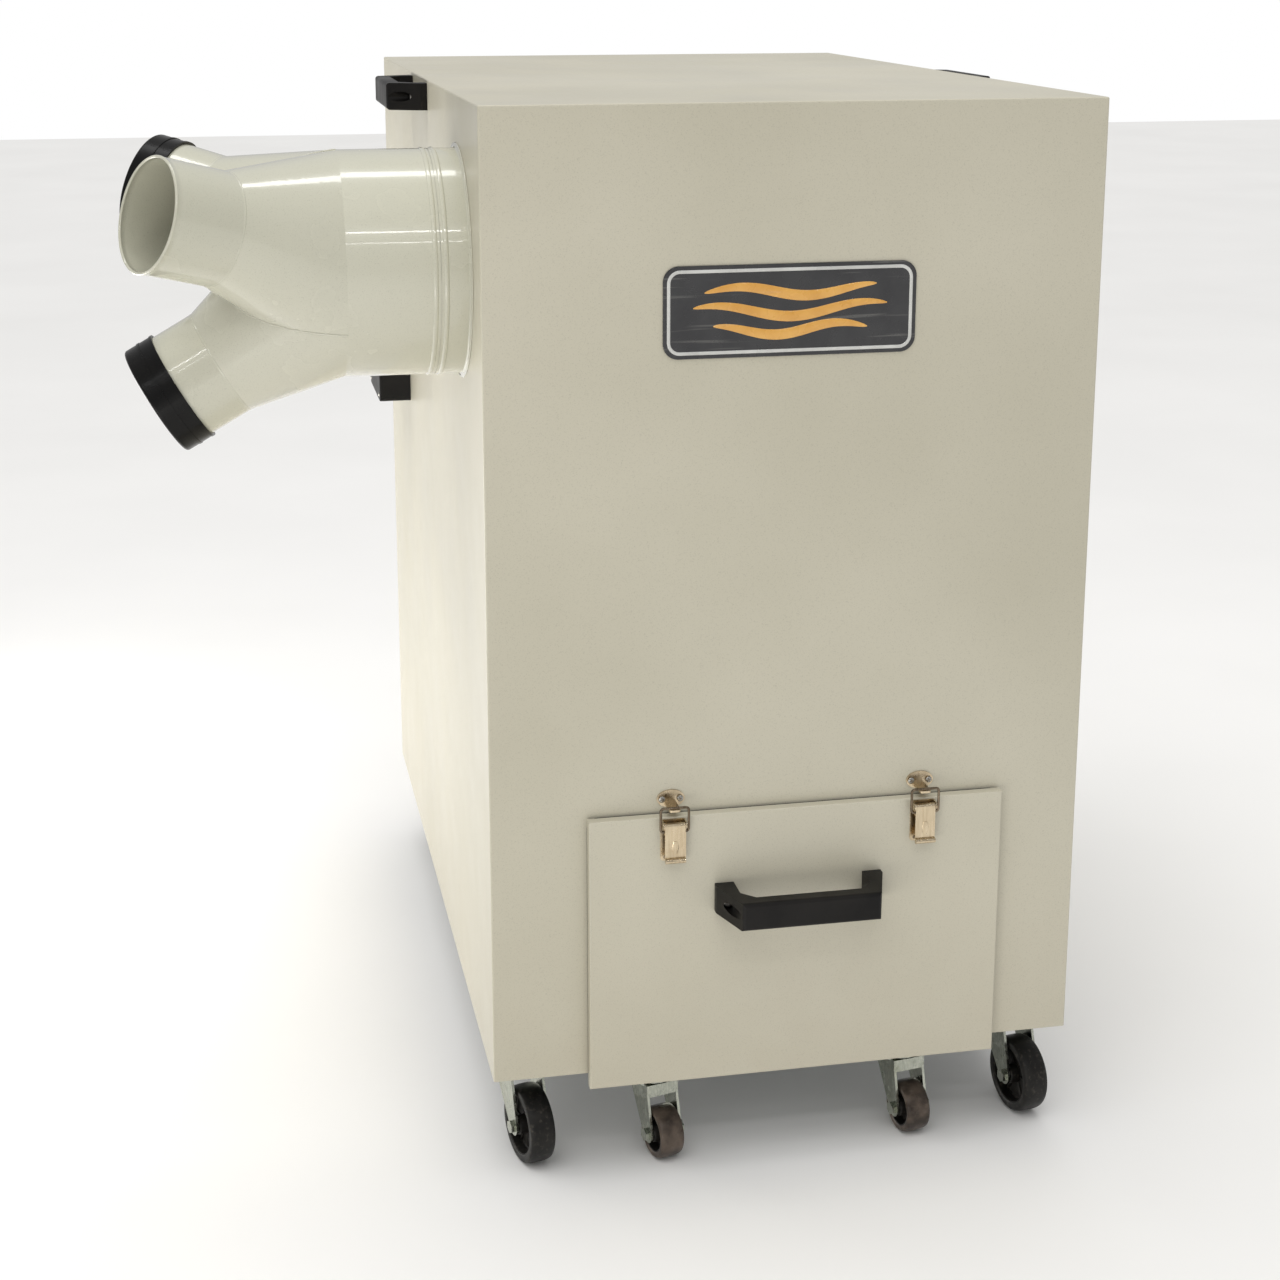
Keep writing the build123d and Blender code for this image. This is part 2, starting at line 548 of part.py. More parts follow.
BEARING_R, BEARING_W = 26, 13
bell_starts = (MOTOR_Y, MOTOR_Y + BELL_T + STATOR_L)
with BuildPart() as motor_end_bells:
    for start in bell_starts:
        rod(MOTOR_R, (CX, start, FAN_Z), (0, 1, 0), BELL_T)
        rod(BEARING_R, (CX, start + 4, FAN_Z), (0, 1, 0), BEARING_W, Mode.SUBTRACT)
        rod(SHAFT_R + 1, (CX, start - 1, FAN_Z), (0, 1, 0), BELL_T + 2, Mode.SUBTRACT)
        rod(BEARING_R - 4, (CX, start + 5, FAN_Z), (0, 1, 0), BELL_T, Mode.SUBTRACT)
save("motor_end_bells", motor_end_bells.part)

with BuildPart() as motor_bearings:
    for start in bell_starts:
        rod(BEARING_R, (CX, start + 4, FAN_Z), (0, 1, 0), BEARING_W)
        rod(SHAFT_R - 0.02 + RUN, (CX, start, FAN_Z), (0, 1, 0), BELL_T, Mode.SUBTRACT)
save("motor_bearings", motor_bearings.part)

with BuildPart() as motor_housing:
    with BuildSketch(at_y(MOTOR_Y + BELL_T + STATOR_L)):
        with Locations((CX, FAN_Z)):
            Circle(MOTOR_R - 8)
            with PolarLocations(MOTOR_R - 6, 32):
                Rectangle(12, 2.5)
            Circle(56, mode=Mode.SUBTRACT)
    extrude(amount=STATOR_L)
    slab(CX - 45, CX + 45, MOTOR_Y + BELL_T + 20, MOTOR_Y + BELL_T + 85,
         FAN_Z + MOTOR_R - 16, FAN_Z + MOTOR_R + 38)
save("motor_housing", motor_housing.part)

# ------------------------------------------------------------------ drawer
PAN = 1.8
PAN_BACK = FRONT - SEAL_T - 0.2
with BuildPart() as drawer_front:
    slab(DX - DRAWER_W / 2, DX + DRAWER_W / 2, FACE, PAN_BACK, DRAWER_FOOT, DRAWER_TOP)
    fillet(drawer_front.faces().sort_by(Axis.Y)[0].edges(), 1.4)
    slab(DX - DRAWER_W / 2 + PAN, DX + DRAWER_W / 2 - PAN, FACE + PAN, FRONT,
         DRAWER_FOOT + PAN, DRAWER_TOP - PAN, Mode.SUBTRACT)
    with BuildSketch(at_y(FACE + PAN)):
        with Locations(DRAWER_SCREWS):
            Circle(HOLE_R)
    extrude(amount=PAN, mode=Mode.SUBTRACT)
save("drawer_front", drawer_front.part)

BIN_FRONT, BIN_SKIN, HEM = FACE + PAN, 1.5, 2.5
BIN_BACK = BIN_FRONT + BIN_L
with BuildPart() as dust_bin:
    slab(DX - BIN_HALF, DX + BIN_HALF, BIN_FRONT, BIN_BACK, DRAWER_FOOT + PAN, BIN_TOP)
    slab(DX - BIN_HALF - HEM, DX + BIN_HALF + HEM, BIN_FRONT, BIN_BACK + HEM, BIN_TOP - 3, BIN_TOP)
    slab(DX - BIN_HALF + BIN_SKIN, DX + BIN_HALF - BIN_SKIN, BIN_FRONT + BIN_SKIN,
         BIN_BACK - BIN_SKIN, DRAWER_FOOT + PAN + BIN_SKIN, BIN_TOP, Mode.SUBTRACT)
    with BuildSketch(at_y(BIN_FRONT + BIN_SKIN)):
        with Locations(DRAWER_SCREWS):
            Circle(HOLE_R)
    extrude(amount=BIN_SKIN, mode=Mode.SUBTRACT)
save("dust_bin", dust_bin.part)

RAIL_W, RAIL_T = 52, 2
RAIL_LOW, RAIL_TOP = 84, DRAWER_FOOT + PAN
RAIL_FRONTS = (FRONT + 29, BIN_BACK - 20 - RAIL_W)
with BuildPart() as drawer_rails:
    for y in RAIL_FRONTS:
        slab(DX - 165, DX + 165, y, y + RAIL_W, RAIL_LOW, RAIL_TOP)
        slab(DX - 165, DX + 165, y + RAIL_T, y + RAIL_W - RAIL_T, RAIL_LOW + RAIL_T,
             RAIL_TOP - RAIL_T, Mode.SUBTRACT)
save("drawer_rails", drawer_rails.part)

# ------------------------------------------------------------------ toggle latches
PIVOT_OUT, PIVOT_Z = 7, 360             # lever pivot out from the drawer face
THROW = 6                               # bail pivot below the lever pivot
LEVER_HALF, LEVER_T, LEVER_L = 9.5, 1.2, 33
PIN_R, WIRE_R, KNUCKLE_R = 1.5, 1.2, 2.7
BAIL_HALF, BAIL_RISE = 13.1, 23
BAIL_BAR_Z = PIVOT_Z - THROW + BAIL_RISE
SHELF_TOP = BAIL_BAR_Z - WIRE_R - FIT
BASE_HALF = 12
pivot_y = FACE - PIVOT_OUT


def latch_base(x):
    """Base plate on the drawer, two ears and the lever's pivot pin between them."""
    with BuildPart() as base:
        with BuildSketch(at_y(FACE)):
            with Locations((x, PIVOT_Z - 16)):
                RectangleRounded(2 * BASE_HALF, 40, 3)
        extrude(amount=1.2)
        for ear in (-1, 1):
            x0 = min(x + ear * (LEVER_HALF + FIT), x + ear * (LEVER_HALF + FIT + 1.2))
            with BuildSketch(Plane.YZ.offset(x0)):
                with Locations((pivot_y, PIVOT_Z)):
                    Circle(3.6)
                rect(pivot_y, FACE, PIVOT_Z - 3.6, PIVOT_Z + 3.6)
            extrude(amount=1.2)
        rod(PIN_R, (x - LEVER_HALF - 1.5, pivot_y, PIVOT_Z), (1, 0, 0), 2 * LEVER_HALF + 3)
    return base.part


def latch_lever(x):
    """Lever plate with a knuckle on the pivot pin, one on the bail, and a curled finger end."""
    with BuildPart() as lever:
        with BuildSketch(Plane.YZ.offset(x - LEVER_HALF)):
            with Locations((pivot_y, PIVOT_Z), (pivot_y, PIVOT_Z - THROW)):
                Circle(KNUCKLE_R)
            rect(pivot_y - KNUCKLE_R, pivot_y - KNUCKLE_R + LEVER_T, PIVOT_Z - LEVER_L, PIVOT_Z)
            with Locations((pivot_y - KNUCKLE_R - 1.2, PIVOT_Z - LEVER_L)):
                Circle(2.4)
            with Locations((pivot_y, PIVOT_Z)):
                Circle(PIN_R + RUN, mode=Mode.SUBTRACT)
            with Locations((pivot_y, PIVOT_Z - THROW)):
                Circle(WIRE_R + RUN, mode=Mode.SUBTRACT)
        extrude(amount=2 * LEVER_HALF)
    return lever.part


def latch_bail(x):
    """Closed loop of round wire through the lever's second knuckle, up to the catch."""
    low, high = PIVOT_Z - THROW, BAIL_BAR_Z
    bend = 3
    with BuildPart() as bail:
        with BuildLine(at_y(pivot_y)) as path:
            ring = Polyline((x - BAIL_HALF, low), (x + BAIL_HALF, low), (x + BAIL_HALF, high),
                            (x - BAIL_HALF, high), close=True)
            fillet(ring.vertices(), bend)
        with BuildSketch(Plane(origin=(x, pivot_y, low), z_dir=(1, 0, 0))):
            Circle(WIRE_R)
        sweep(path=path.wires()[0])
    return bail.part


def latch_catch(x):
    """Oval plate on the cabinet with two screws and the shelf that the bail pulls down on."""
    tip = pivot_y - 2
    with BuildPart() as catch:
        with BuildSketch(at_y(FRONT)):
            with Locations((x, SHELF_TOP + 4)):
                Ellipse(13, 8.5)
        extrude(amount=1.5)
        slab(x - 5.5, x + 5.5, tip, FRONT - 1, SHELF_TOP - 2, SHELF_TOP)
        fillet(catch.edges().filter_by(Axis.Z).group_by(Axis.Y)[0], 3)
        for side in (-1, 1):
            rod(2.7, (x + side * 8.6, FRONT - 1.5, SHELF_TOP + 4), (0, -1, 0), 1.4)
    return catch.part


latch_xs = {"left": DX - LATCH_X, "right": DX + LATCH_X}
save("latch_catches", group([latch_catch(x) for x in latch_xs.values()]))
save("latch_bases", group([latch_base(x) for x in latch_xs.values()]))
for side, x in latch_xs.items():
    save(f"{side}_latch_lever", latch_lever(x))
    save(f"{side}_latch_bail", latch_bail(x))

# ------------------------------------------------------------------ casters
# Each is drawn with its swivel axis on Z and its wheel trailing to -Y, then turned and placed.
HEADINGS = {"left": 14, "right": 10}    # how far the swivel casters are turned, degrees
BIG = dict(height=CASTER_H, wheel_r=37.5, wheel_w=26, trail=33, plate=(62, 74), crown_r=27)
SMALL = dict(height=RAIL_LOW, wheel_r=25, wheel_w=25, trail=22, plate=(50, 50), crown_r=22)
AXLE_R, LEG_T, PLATE_T, CUP_H, LIP = 4, 2.5, 3, 6, 10


def caster_plate(height, wheel_r, wheel_w, trail, plate, crown_r):
    """Swivel caster's top plate with its bearing cup and kingpin, bolt heads at its corners."""
    with BuildPart() as top:
        with BuildSketch(Plane.XY.offset(height - PLATE_T)):
            RectangleRounded(*plate, 5)
        extrude(amount=PLATE_T)
        with BuildSketch(Plane.XY.offset(height - PLATE_T)):
            Circle(crown_r - 2)
        extrude(amount=-CUP_H, taper=12)
        rod(5, (0, 0, height - PLATE_T), (0, 0, -1), CUP_H + 9)
        with BuildSketch(Plane.XY.offset(height - PLATE_T - CUP_H - 5)):
            RegularPolygon(7.5, 6)
        extrude(amount=-5)
        with BuildSketch(Plane.XY.offset(height - PLATE_T)):
            with GridLocations(plate[0] - 14, plate[1] - 14, 2, 2):
                RegularPolygon(4.5, 6)
        extrude(amount=-3)
    return top.part


def caster_fork(height, wheel_r, wheel_w, trail, plate, crown_r, rigid=False):
    """Pressed fork with its riveted axle; a rigid one has its own top plate and no trail."""
    crown_top = height - PLATE_T - CUP_H - FIT
    reach = 0 if rigid else trail
    gap = wheel_w / 2 + 1.5
    with BuildPart() as fork:
        for side in (-1, 1):
            with BuildSketch(Plane.YZ.offset(min(side * gap, side * (gap + LEG_T)))):
                with Locations((-reach, wheel_r)):
                    Circle(9)
                rect(-crown_r + 3, crown_r - 3, crown_top - 7, crown_top)
                make_hull()
            extrude(amount=LEG_T)
        with BuildSketch(Plane.XY.offset(crown_top)):
            Circle(crown_r)
            rect(-gap - LEG_T, gap + LEG_T, -crown_r + 3, crown_r - 3)
        extrude(amount=-LEG_T)
        slab(-gap - LEG_T, gap + LEG_T, 3 - LEG_T - crown_r, 3 - crown_r,
             crown_top - LEG_T - LIP, crown_top)
        if rigid:
            slab(-gap - LEG_T, gap + LEG_T, -crown_r + 3, crown_r - 3, crown_top, height - PLATE_T)
            with BuildSketch(Plane.XY.offset(height - PLATE_T)):
                RectangleRounded(*plate, 5)
            extrude(amount=PLATE_T)
        else:
            rod(5 + RUN, (0, 0, height), (0, 0, -1), height / 2, Mode.SUBTRACT)
        rod(AXLE_R, (-gap - LEG_T - 4, -reach, wheel_r), (1, 0, 0), 2 * (gap + LEG_T + 4))
        for side in (-1, 1):
            start = side * (gap + LEG_T)
            with BuildSketch(Plane(origin=(start, -reach, wheel_r), z_dir=(side, 0, 0))):
                RegularPolygon(6.5, 6)
            extrude(amount=4)
    return fork.part


def caster_wheel(height, wheel_r, wheel_w, trail, plate, crown_r, rigid=False):
    """Moulded wheel: rounded tread, dished web, hub and bore."""
    half, hub_r = wheel_w / 2, 9
    reach = 0 if rigid else trail
    web_in, web_out = hub_r + 2, wheel_r - 8
    with BuildPart() as wheel:
        with BuildSketch(Plane.XY):
            with BuildLine():
                Polyline((-half, AXLE_R + RUN), (half, AXLE_R + RUN), (half, hub_r),
                         (half - 4, web_in), (half - 4, web_out - 2), (half - 1, web_out),
                         (half - 1, wheel_r - 3), (half - 4, wheel_r), (4 - half, wheel_r),
                         (1 - half, wheel_r - 3), (1 - half, web_out), (4 - half, web_out - 2),
                         (4 - half, web_in), (-half, hub_r), close=True)
            make_face()
        revolve(axis=Axis.X)
        fillet(wheel.edges().filter_by(GeomType.CIRCLE).filter_by(
            lambda e: abs(e.radius - wheel_r) < 0.01), 1.5)
    return Pos(0, -reach, wheel_r) * wheel.part


BIG_X, BIG_REAR_X = 250, 232
BIG_FRONT_Y, BIG_REAR_Y = CY - 365, REAR - 62
SMALL_X, SMALL_FRONT_Y = 125, RAIL_FRONTS[0] + RAIL_W / 2 - 4
SMALL_REAR_Y = RAIL_FRONTS[1] + RAIL_W / 2


def caster_set(prefix, plates, rears, size, centre, spreads, front_y, rear_y):
    """Four casters: two that swivel in front, two rigid ones behind."""
    front_spread, rear_spread = spreads
    seats = {side: Pos(centre + way * front_spread, front_y, 0)
             for side, way in (("left", -1), ("right", 1))}
    rear_seats = {side: Pos(centre + way * rear_spread, rear_y, 0)
                  for side, way in (("left", -1), ("right", 1))}
    save(plates, group([seat * caster_plate(**size) for seat in seats.values()]))
    save(rears, group([seat * caster_fork(**size, rigid=True) for seat in rear_seats.values()]))
    for side, seat in seats.items():
        turn = seat * Rot(Z=HEADINGS[side])
        save(f"{prefix}front_{side}_fork", turn * caster_fork(**size))
        save(f"{prefix}front_{side}_wheel", turn * caster_wheel(**size))
        save(f"{prefix}rear_{side}_wheel", rear_seats[side] * caster_wheel(**size, rigid=True))


caster_set("", "cabinet_caster_plates", "cabinet_rear_forks", BIG, CX, (BIG_X, BIG_REAR_X),
           BIG_FRONT_Y, BIG_REAR_Y)
caster_set("drawer_", "drawer_caster_plates", "drawer_rear_forks", SMALL, DX,
           (SMALL_X, SMALL_X), SMALL_FRONT_Y, SMALL_REAR_Y)
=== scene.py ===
"""Cabinet dust collector: materials, fine mesh pieces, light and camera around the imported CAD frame."""
import json
from math import cos, pi, radians, sin

import bmesh
import bpy
from mathutils import Matrix, Vector

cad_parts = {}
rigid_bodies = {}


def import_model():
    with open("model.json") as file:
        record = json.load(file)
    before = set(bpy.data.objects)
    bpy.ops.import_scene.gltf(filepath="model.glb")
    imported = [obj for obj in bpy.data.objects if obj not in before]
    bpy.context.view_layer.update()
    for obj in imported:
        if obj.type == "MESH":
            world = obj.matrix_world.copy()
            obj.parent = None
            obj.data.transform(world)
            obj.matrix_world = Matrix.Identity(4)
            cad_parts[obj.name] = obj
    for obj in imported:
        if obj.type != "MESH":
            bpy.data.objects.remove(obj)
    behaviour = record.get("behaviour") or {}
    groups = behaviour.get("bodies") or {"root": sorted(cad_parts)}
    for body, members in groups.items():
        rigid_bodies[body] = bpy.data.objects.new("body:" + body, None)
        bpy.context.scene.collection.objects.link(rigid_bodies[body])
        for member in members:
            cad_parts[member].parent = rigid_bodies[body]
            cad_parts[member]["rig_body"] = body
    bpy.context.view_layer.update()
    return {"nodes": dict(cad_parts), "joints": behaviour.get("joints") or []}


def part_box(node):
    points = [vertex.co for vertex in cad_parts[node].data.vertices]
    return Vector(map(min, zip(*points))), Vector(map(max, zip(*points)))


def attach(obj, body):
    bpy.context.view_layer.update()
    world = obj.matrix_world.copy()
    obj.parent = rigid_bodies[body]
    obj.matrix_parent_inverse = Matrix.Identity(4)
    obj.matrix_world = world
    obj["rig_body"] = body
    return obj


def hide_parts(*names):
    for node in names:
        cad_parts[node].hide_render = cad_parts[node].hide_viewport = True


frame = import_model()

NODES = frame["nodes"]
JOINTS = {joint["name"]: joint for joint in frame["joints"]}
X, Y, Z = Vector((1, 0, 0)), Vector((0, 1, 0)), Vector((0, 0, 1))
MM = 0.001


# ------------------------------------------------------------------ camera, light and floor
CAMERA_AT = Vector((-0.387, -2.272, 1.1355))
CAMERA_AZIMUTH, CAMERA_ELEVATION = -11.45, 13.65
CAMERA_LENS, CAMERA_SHIFT = 62.0, -0.12


def make_camera():
    """A view from a little left of the front and above, with the lens shifted down."""
    azimuth, elevation = radians(CAMERA_AZIMUTH), radians(CAMERA_ELEVATION)
    back = Vector((sin(azimuth) * cos(elevation), -cos(azimuth) * cos(elevation), sin(elevation)))
    right = (-back).cross(Z).normalized()
    up = back.cross(right)
    data = bpy.data.cameras.new("camera")
    data.lens, data.sensor_width, data.shift_y = CAMERA_LENS, 36, CAMERA_SHIFT
    data.clip_start, data.clip_end = 0.05, 60
    camera = bpy.data.objects.new("camera", data)
    turn = Matrix((right, up, back)).transposed().to_4x4()
    camera.matrix_world = Matrix.Translation(CAMERA_AT) @ turn
    bpy.context.scene.collection.objects.link(camera)
    bpy.context.scene.camera = camera


def area_light(name, at, target, size, power, tint=(1, 1, 1)):
    """A rectangular soft light that faces a target."""
    data = bpy.data.lights.new(name, "AREA")
    data.shape, data.size, data.size_y = "RECTANGLE", size[0], size[1]
    data.energy, data.color = power, tint
    light = bpy.data.objects.new(name, data)
    light.location = at
    light.rotation_euler = (Vector(target) - Vector(at)).to_track_quat("-Z", "Y").to_euler()
    bpy.context.scene.collection.objects.link(light)


SKY_LIGHT = 0.47                        # how bright the white surroundings light the object


def make_studio():
    """White surroundings, a soft overhead sun, a key from the left, and strips for the duct's glints."""
    sun = bpy.data.lights.new("overhead_light", "SUN")
    sun.energy, sun.angle = 1.6, radians(60)
    overhead = bpy.data.objects.new("overhead_light", sun)
    overhead.rotation_euler = Vector((0.15, 0.1, -1)).to_track_quat("-Z", "Y").to_euler()
    overhead.visible_glossy = False
    scene = bpy.context.scene
    scene.collection.objects.link(overhead)
    area_light("key_light", (-1.25, 0.55, 0.22), (-0.3, 0.15, 0.25), (1.2, 0.35), 9.5, (1, 0.985, 0.95))
    area_light("low_fill", (-0.9, -1.9, 0.14), (-0.15, -0.4, 0.25), (0.9, 0.25), 4.2, (1, 0.98, 0.93))
    area_light("duct_top_strip", (-0.3, 0.35, 3.1), (-0.3, -0.27, 0.86), (2.6, 0.32), 15)
    area_light("glint_upper", (-0.5, -2.6, 2.7), (-0.25, -0.27, 0.86), (3.2, 0.06), 11)
    area_light("glint_lower", (-0.7, -3.0, 2.3), (-0.25, -0.27, 0.86), (2.2, 0.025), 3)
    world = bpy.data.worlds.new("studio")
    world.use_nodes = True
    sky = world.node_tree.nodes["Background"]
    seen = world.node_tree.nodes.new("ShaderNodeLightPath")
    level = world.node_tree.nodes.new("ShaderNodeMapRange")
    level.inputs["To Min"].default_value = SKY_LIGHT
    world.node_tree.links.new(seen.outputs["Is Camera Ray"], level.inputs["Value"])
    world.node_tree.links.new(level.outputs["Result"], sky.inputs["Strength"])
    sky.inputs["Color"].default_value = (1, 1, 1, 1)
    scene.world = world
    scene.view_settings.view_transform = "Standard"
    floor_mesh = bpy.data.meshes.new("floor")
    half = 12
    floor_mesh.from_pydata([(-half, -half, 0), (half, -half, 0), (half, half, 0), (-half, half, 0)],
                           [], [(0, 1, 2, 3)])
    floor = bpy.data.objects.new("floor", floor_mesh)
    scene.collection.objects.link(floor)
    paint = Finish("floor_paint", roughness=0.8)
    paint.colour(paint.ramp(paint.noise(1.5, 3), (0.3, tone(238, 237, 235)), (0.7, tone(242, 241, 239))))
    floor_mesh.materials.append(paint.material)


# ------------------------------------------------------------------ materials
def tone(red, green, blue):
    """A display colour, 0 to 255, as the linear colour that shaders take."""
    def linear(value):
        value /= 255
        return value / 12.92 if value <= 0.04045 else ((value + 0.055) / 1.055) ** 2.4
    return (linear(red), linear(green), linear(blue), 1)


class Finish:
    """One procedural material: a Principled shader and short calls for the nodes that feed it."""

    def __init__(self, name, roughness=0.5, metallic=0.0, **sockets):
        self.material = bpy.data.materials.new(name)
        self.material.use_nodes = True
        self.tree = self.material.node_tree
        self.tree.nodes.clear()
        self.shader = self.node("ShaderNodeBsdfPrincipled")
        output = self.node("ShaderNodeOutputMaterial")
        self.tree.links.new(self.shader.outputs[0], output.inputs[0])
        self.shader.inputs["Roughness"].default_value = roughness
        self.shader.inputs["Metallic"].default_value = metallic
        for socket, value in sockets.items():
            self.shader.inputs[socket.replace("_", " ")].default_value = value
        self.place = self.node("ShaderNodeTexCoord").outputs["Object"]
        self.relief = None

    def node(self, kind, **settings):
        made = self.tree.nodes.new(kind)
        for key, value in settings.items():
            setattr(made, key, value)
        return made

    def feed(self, socket, value):
        """Links a node's output to a socket, or sets the socket to a plain value."""
        if isinstance(value, bpy.types.NodeSocket):
            self.tree.links.new(value, socket)
        else:
            socket.default_value = value

    def stretched(self, stretch):
        if stretch == (1, 1, 1):
            return self.place
        mapping = self.node("ShaderNodeMapping")
        self.feed(mapping.inputs["Vector"], self.place)
        mapping.inputs["Scale"].default_value = stretch
        return mapping.outputs[0]

    def noise(self, scale, detail=2, stretch=(1, 1, 1), distortion=0.0):
        made = self.node("ShaderNodeTexNoise")
        self.feed(made.inputs["Vector"], self.stretched(stretch))
        made.inputs["Scale"].default_value = scale
        made.inputs["Detail"].default_value = detail
        made.inputs["Distortion"].default_value = distortion
        return made.outputs["Fac"]

    def cells(self, scale, output="Distance", stretch=(1, 1, 1), feature="F1"):
        made = self.node("ShaderNodeTexVoronoi", feature=feature)
        self.feed(made.inputs["Vector"], self.stretched(stretch))
        made.inputs["Scale"].default_value = scale
        return made.outputs[output]

    def along(self, axis):
        """Object coordinate along an axis, in metres."""
        split = self.node("ShaderNodeSeparateXYZ")
        self.feed(split.inputs[0], self.place)
        return split.outputs[axis]

    def sums(self, operation, first, second=0.0, third=0.0):
        made = self.node("ShaderNodeMath", operation=operation)
        for socket, value in zip(made.inputs, (first, second, third)):
            self.feed(socket, value)
        return made.outputs[0]

    def fit(self, value, low, high, to_low=0.0, to_high=1.0):
        """Maps a range to another, clamped."""
        made = self.node("ShaderNodeMapRange")
        for socket, setting in zip(made.inputs, (value, low, high, to_low, to_high)):
            self.feed(socket, setting)
        return made.outputs[0]

    def ramp(self, factor, *stops):
        made = self.node("ShaderNodeValToRGB")
        elements = made.color_ramp.elements
        while len(elements) < len(stops):
            elements.new(0.5)
        for element, (position, colour) in zip(elements, stops):
            element.position, element.color = position, colour
        self.feed(made.inputs[0], factor)
        return made.outputs["Color"]

    def mix(self, factor, first, second, mode="MIX"):
        made = self.node("ShaderNodeMix", data_type="RGBA", blend_type=mode)
        self.feed(made.inputs[0], factor)
        self.feed(made.inputs[6], first)
        self.feed(made.inputs[7], second)
        return made.outputs[2]

    def colour(self, value):
        self.feed(self.shader.inputs["Base Color"], value)

    def rough(self, factor, low, high, start=0.3, end=0.7):
        self.feed(self.shader.inputs["Roughness"], self.fit(factor, start, end, low, high))

    def bump(self, height, strength, depth_mm):
        """Adds relief; several calls stack."""
        made = self.node("ShaderNodeBump")
        made.inputs["Strength"].default_value = strength
        made.inputs["Distance"].default_value = depth_mm * MM
        self.feed(made.inputs["Height"], height)
        if self.relief is not None:
            self.feed(made.inputs["Normal"], self.relief)
        self.relief = made.outputs[0]
        self.feed(self.shader.inputs["Normal"], self.relief)


def powder_coat(name, light, dark, gloss, peel):
    """Sprayed and baked paint: faint clouds and specks, orange peel, rubbed patches and floor dust."""
    made = Finish(name, roughness=gloss, IOR=1.5, Coat_Weight=0.2, Coat_Roughness=0.22)
    clouds = made.ramp(made.noise(2.4, 4), (0.32, dark), (0.68, light))
    specks = made.fit(made.noise(1100, 1), 0.58, 0.78, 0.0, 0.3)
    specked = made.mix(specks, clouds, tone(126, 121, 106))
    dust = made.sums("MULTIPLY", made.fit(made.along("Z"), 0.1, 0.3, 0.3, 0.0), made.noise(26, 4))
    made.colour(made.mix(dust, specked, tone(176, 163, 140)))
    made.rough(made.noise(9, 4), gloss - 0.06, gloss + 0.1)
    made.bump(made.noise(peel, 2), 0.2, 0.2)
    return made


def cabinet_paint():
    made = powder_coat("cabinet_paint", tone(198, 193, 175), tone(186, 181, 162), 0.38, 420)
    made.bump(made.noise(4, 1), 0.2, 1.0)
    return made


def duct_paint():
    made = powder_coat("duct_paint", tone(200, 198, 181), tone(189, 188, 170), 0.22, 260)
    made.shader.inputs["Coat Weight"].default_value = 0.9
    made.shader.inputs["Coat Roughness"].default_value = 0.05
    return made


def grille_paint():
    return powder_coat("grille_paint", tone(190, 184, 168), tone(178, 172, 156), 0.42, 500)


def inner_sheet():
    """Hot-dip galvanised sheet: spangle, streaks and a dusty film."""
    made = Finish("inner_sheet", roughness=0.45, metallic=0.85)
    spangle = made.cells(70, "Color", feature="F1")
    grey = made.ramp(spangle, (0.1, tone(126, 132, 134)), (0.9, tone(176, 181, 182)))
    film = made.fit(made.noise(12, 5), 0.5, 0.75, 0.0, 0.5)
    made.colour(made.mix(film, grey, tone(150, 140, 120)))
    made.rough(made.noise(60, 3), 0.32, 0.6)
    made.bump(made.noise(900, 2), 0.15, 0.1)
    return made


def foam():
    """Closed-cell sponge strip."""
    made = Finish("seal_foam", roughness=0.9, Sheen_Weight=0.2, Sheen_Roughness=0.5)
    pores = made.cells(1500)
    made.colour(made.ramp(pores, (0.1, tone(18, 18, 18)), (0.6, tone(48, 47, 45))))
    made.bump(pores, 0.6, 0.4)
    made.bump(made.noise(90, 3), 0.4, 0.5)
    return made


def enamel(name, light, dark, gloss=0.24):
    """Glossy stove enamel with a slight mottling and hairline scuffs."""
    made = Finish(name, roughness=gloss, Coat_Weight=0.5, Coat_Roughness=0.08)
    body = made.ramp(made.noise(40, 4), (0.35, dark), (0.65, light))
    scuffs = made.fit(made.noise(160, 3, stretch=(0.05, 1, 1.4)), 0.62, 0.72, 0.0, 0.12)
    made.colour(made.mix(scuffs, body, tone(200, 198, 190)))
    made.rough(made.noise(55, 4), gloss - 0.05, gloss + 0.14)
    made.bump(made.noise(700, 2), 0.12, 0.08)
    return made


def moulding(name, light, dark, gloss, grain_mm, shine):
    """Moulded plastic with a spark-eroded grain, rubbed smoother and greyer in places."""
    made = Finish(name, roughness=gloss, IOR=1.48, Specular_IOR_Level=shine)
    rubbed = made.noise(18, 4)
    made.colour(made.ramp(rubbed, (0.35, dark), (0.7, light)))
    made.rough(rubbed, gloss + 0.08, gloss - 0.08)
    made.bump(made.cells(1700), 0.35, grain_mm)
    made.bump(made.noise(30, 3), 0.15, 0.3)
    return made


def worn_metal(name, light, dark, gloss, brush=(1, 1, 1), tint=None):
    """Plated or machined metal: brush lines along one direction, dull patches and stain."""
    made = Finish(name, roughness=gloss, metallic=1.0)
    lines = made.noise(500, 3, stretch=brush)
    body = made.ramp(lines, (0.3, dark), (0.7, light))
    stain = made.fit(made.noise(45, 5), 0.52, 0.72, 0.0, 0.55)
    made.colour(made.mix(stain, body, tint or dark))
    made.rough(made.noise(120, 4), gloss - 0.08, gloss + 0.16)
    made.bump(lines, 0.18, 0.05)
    return made


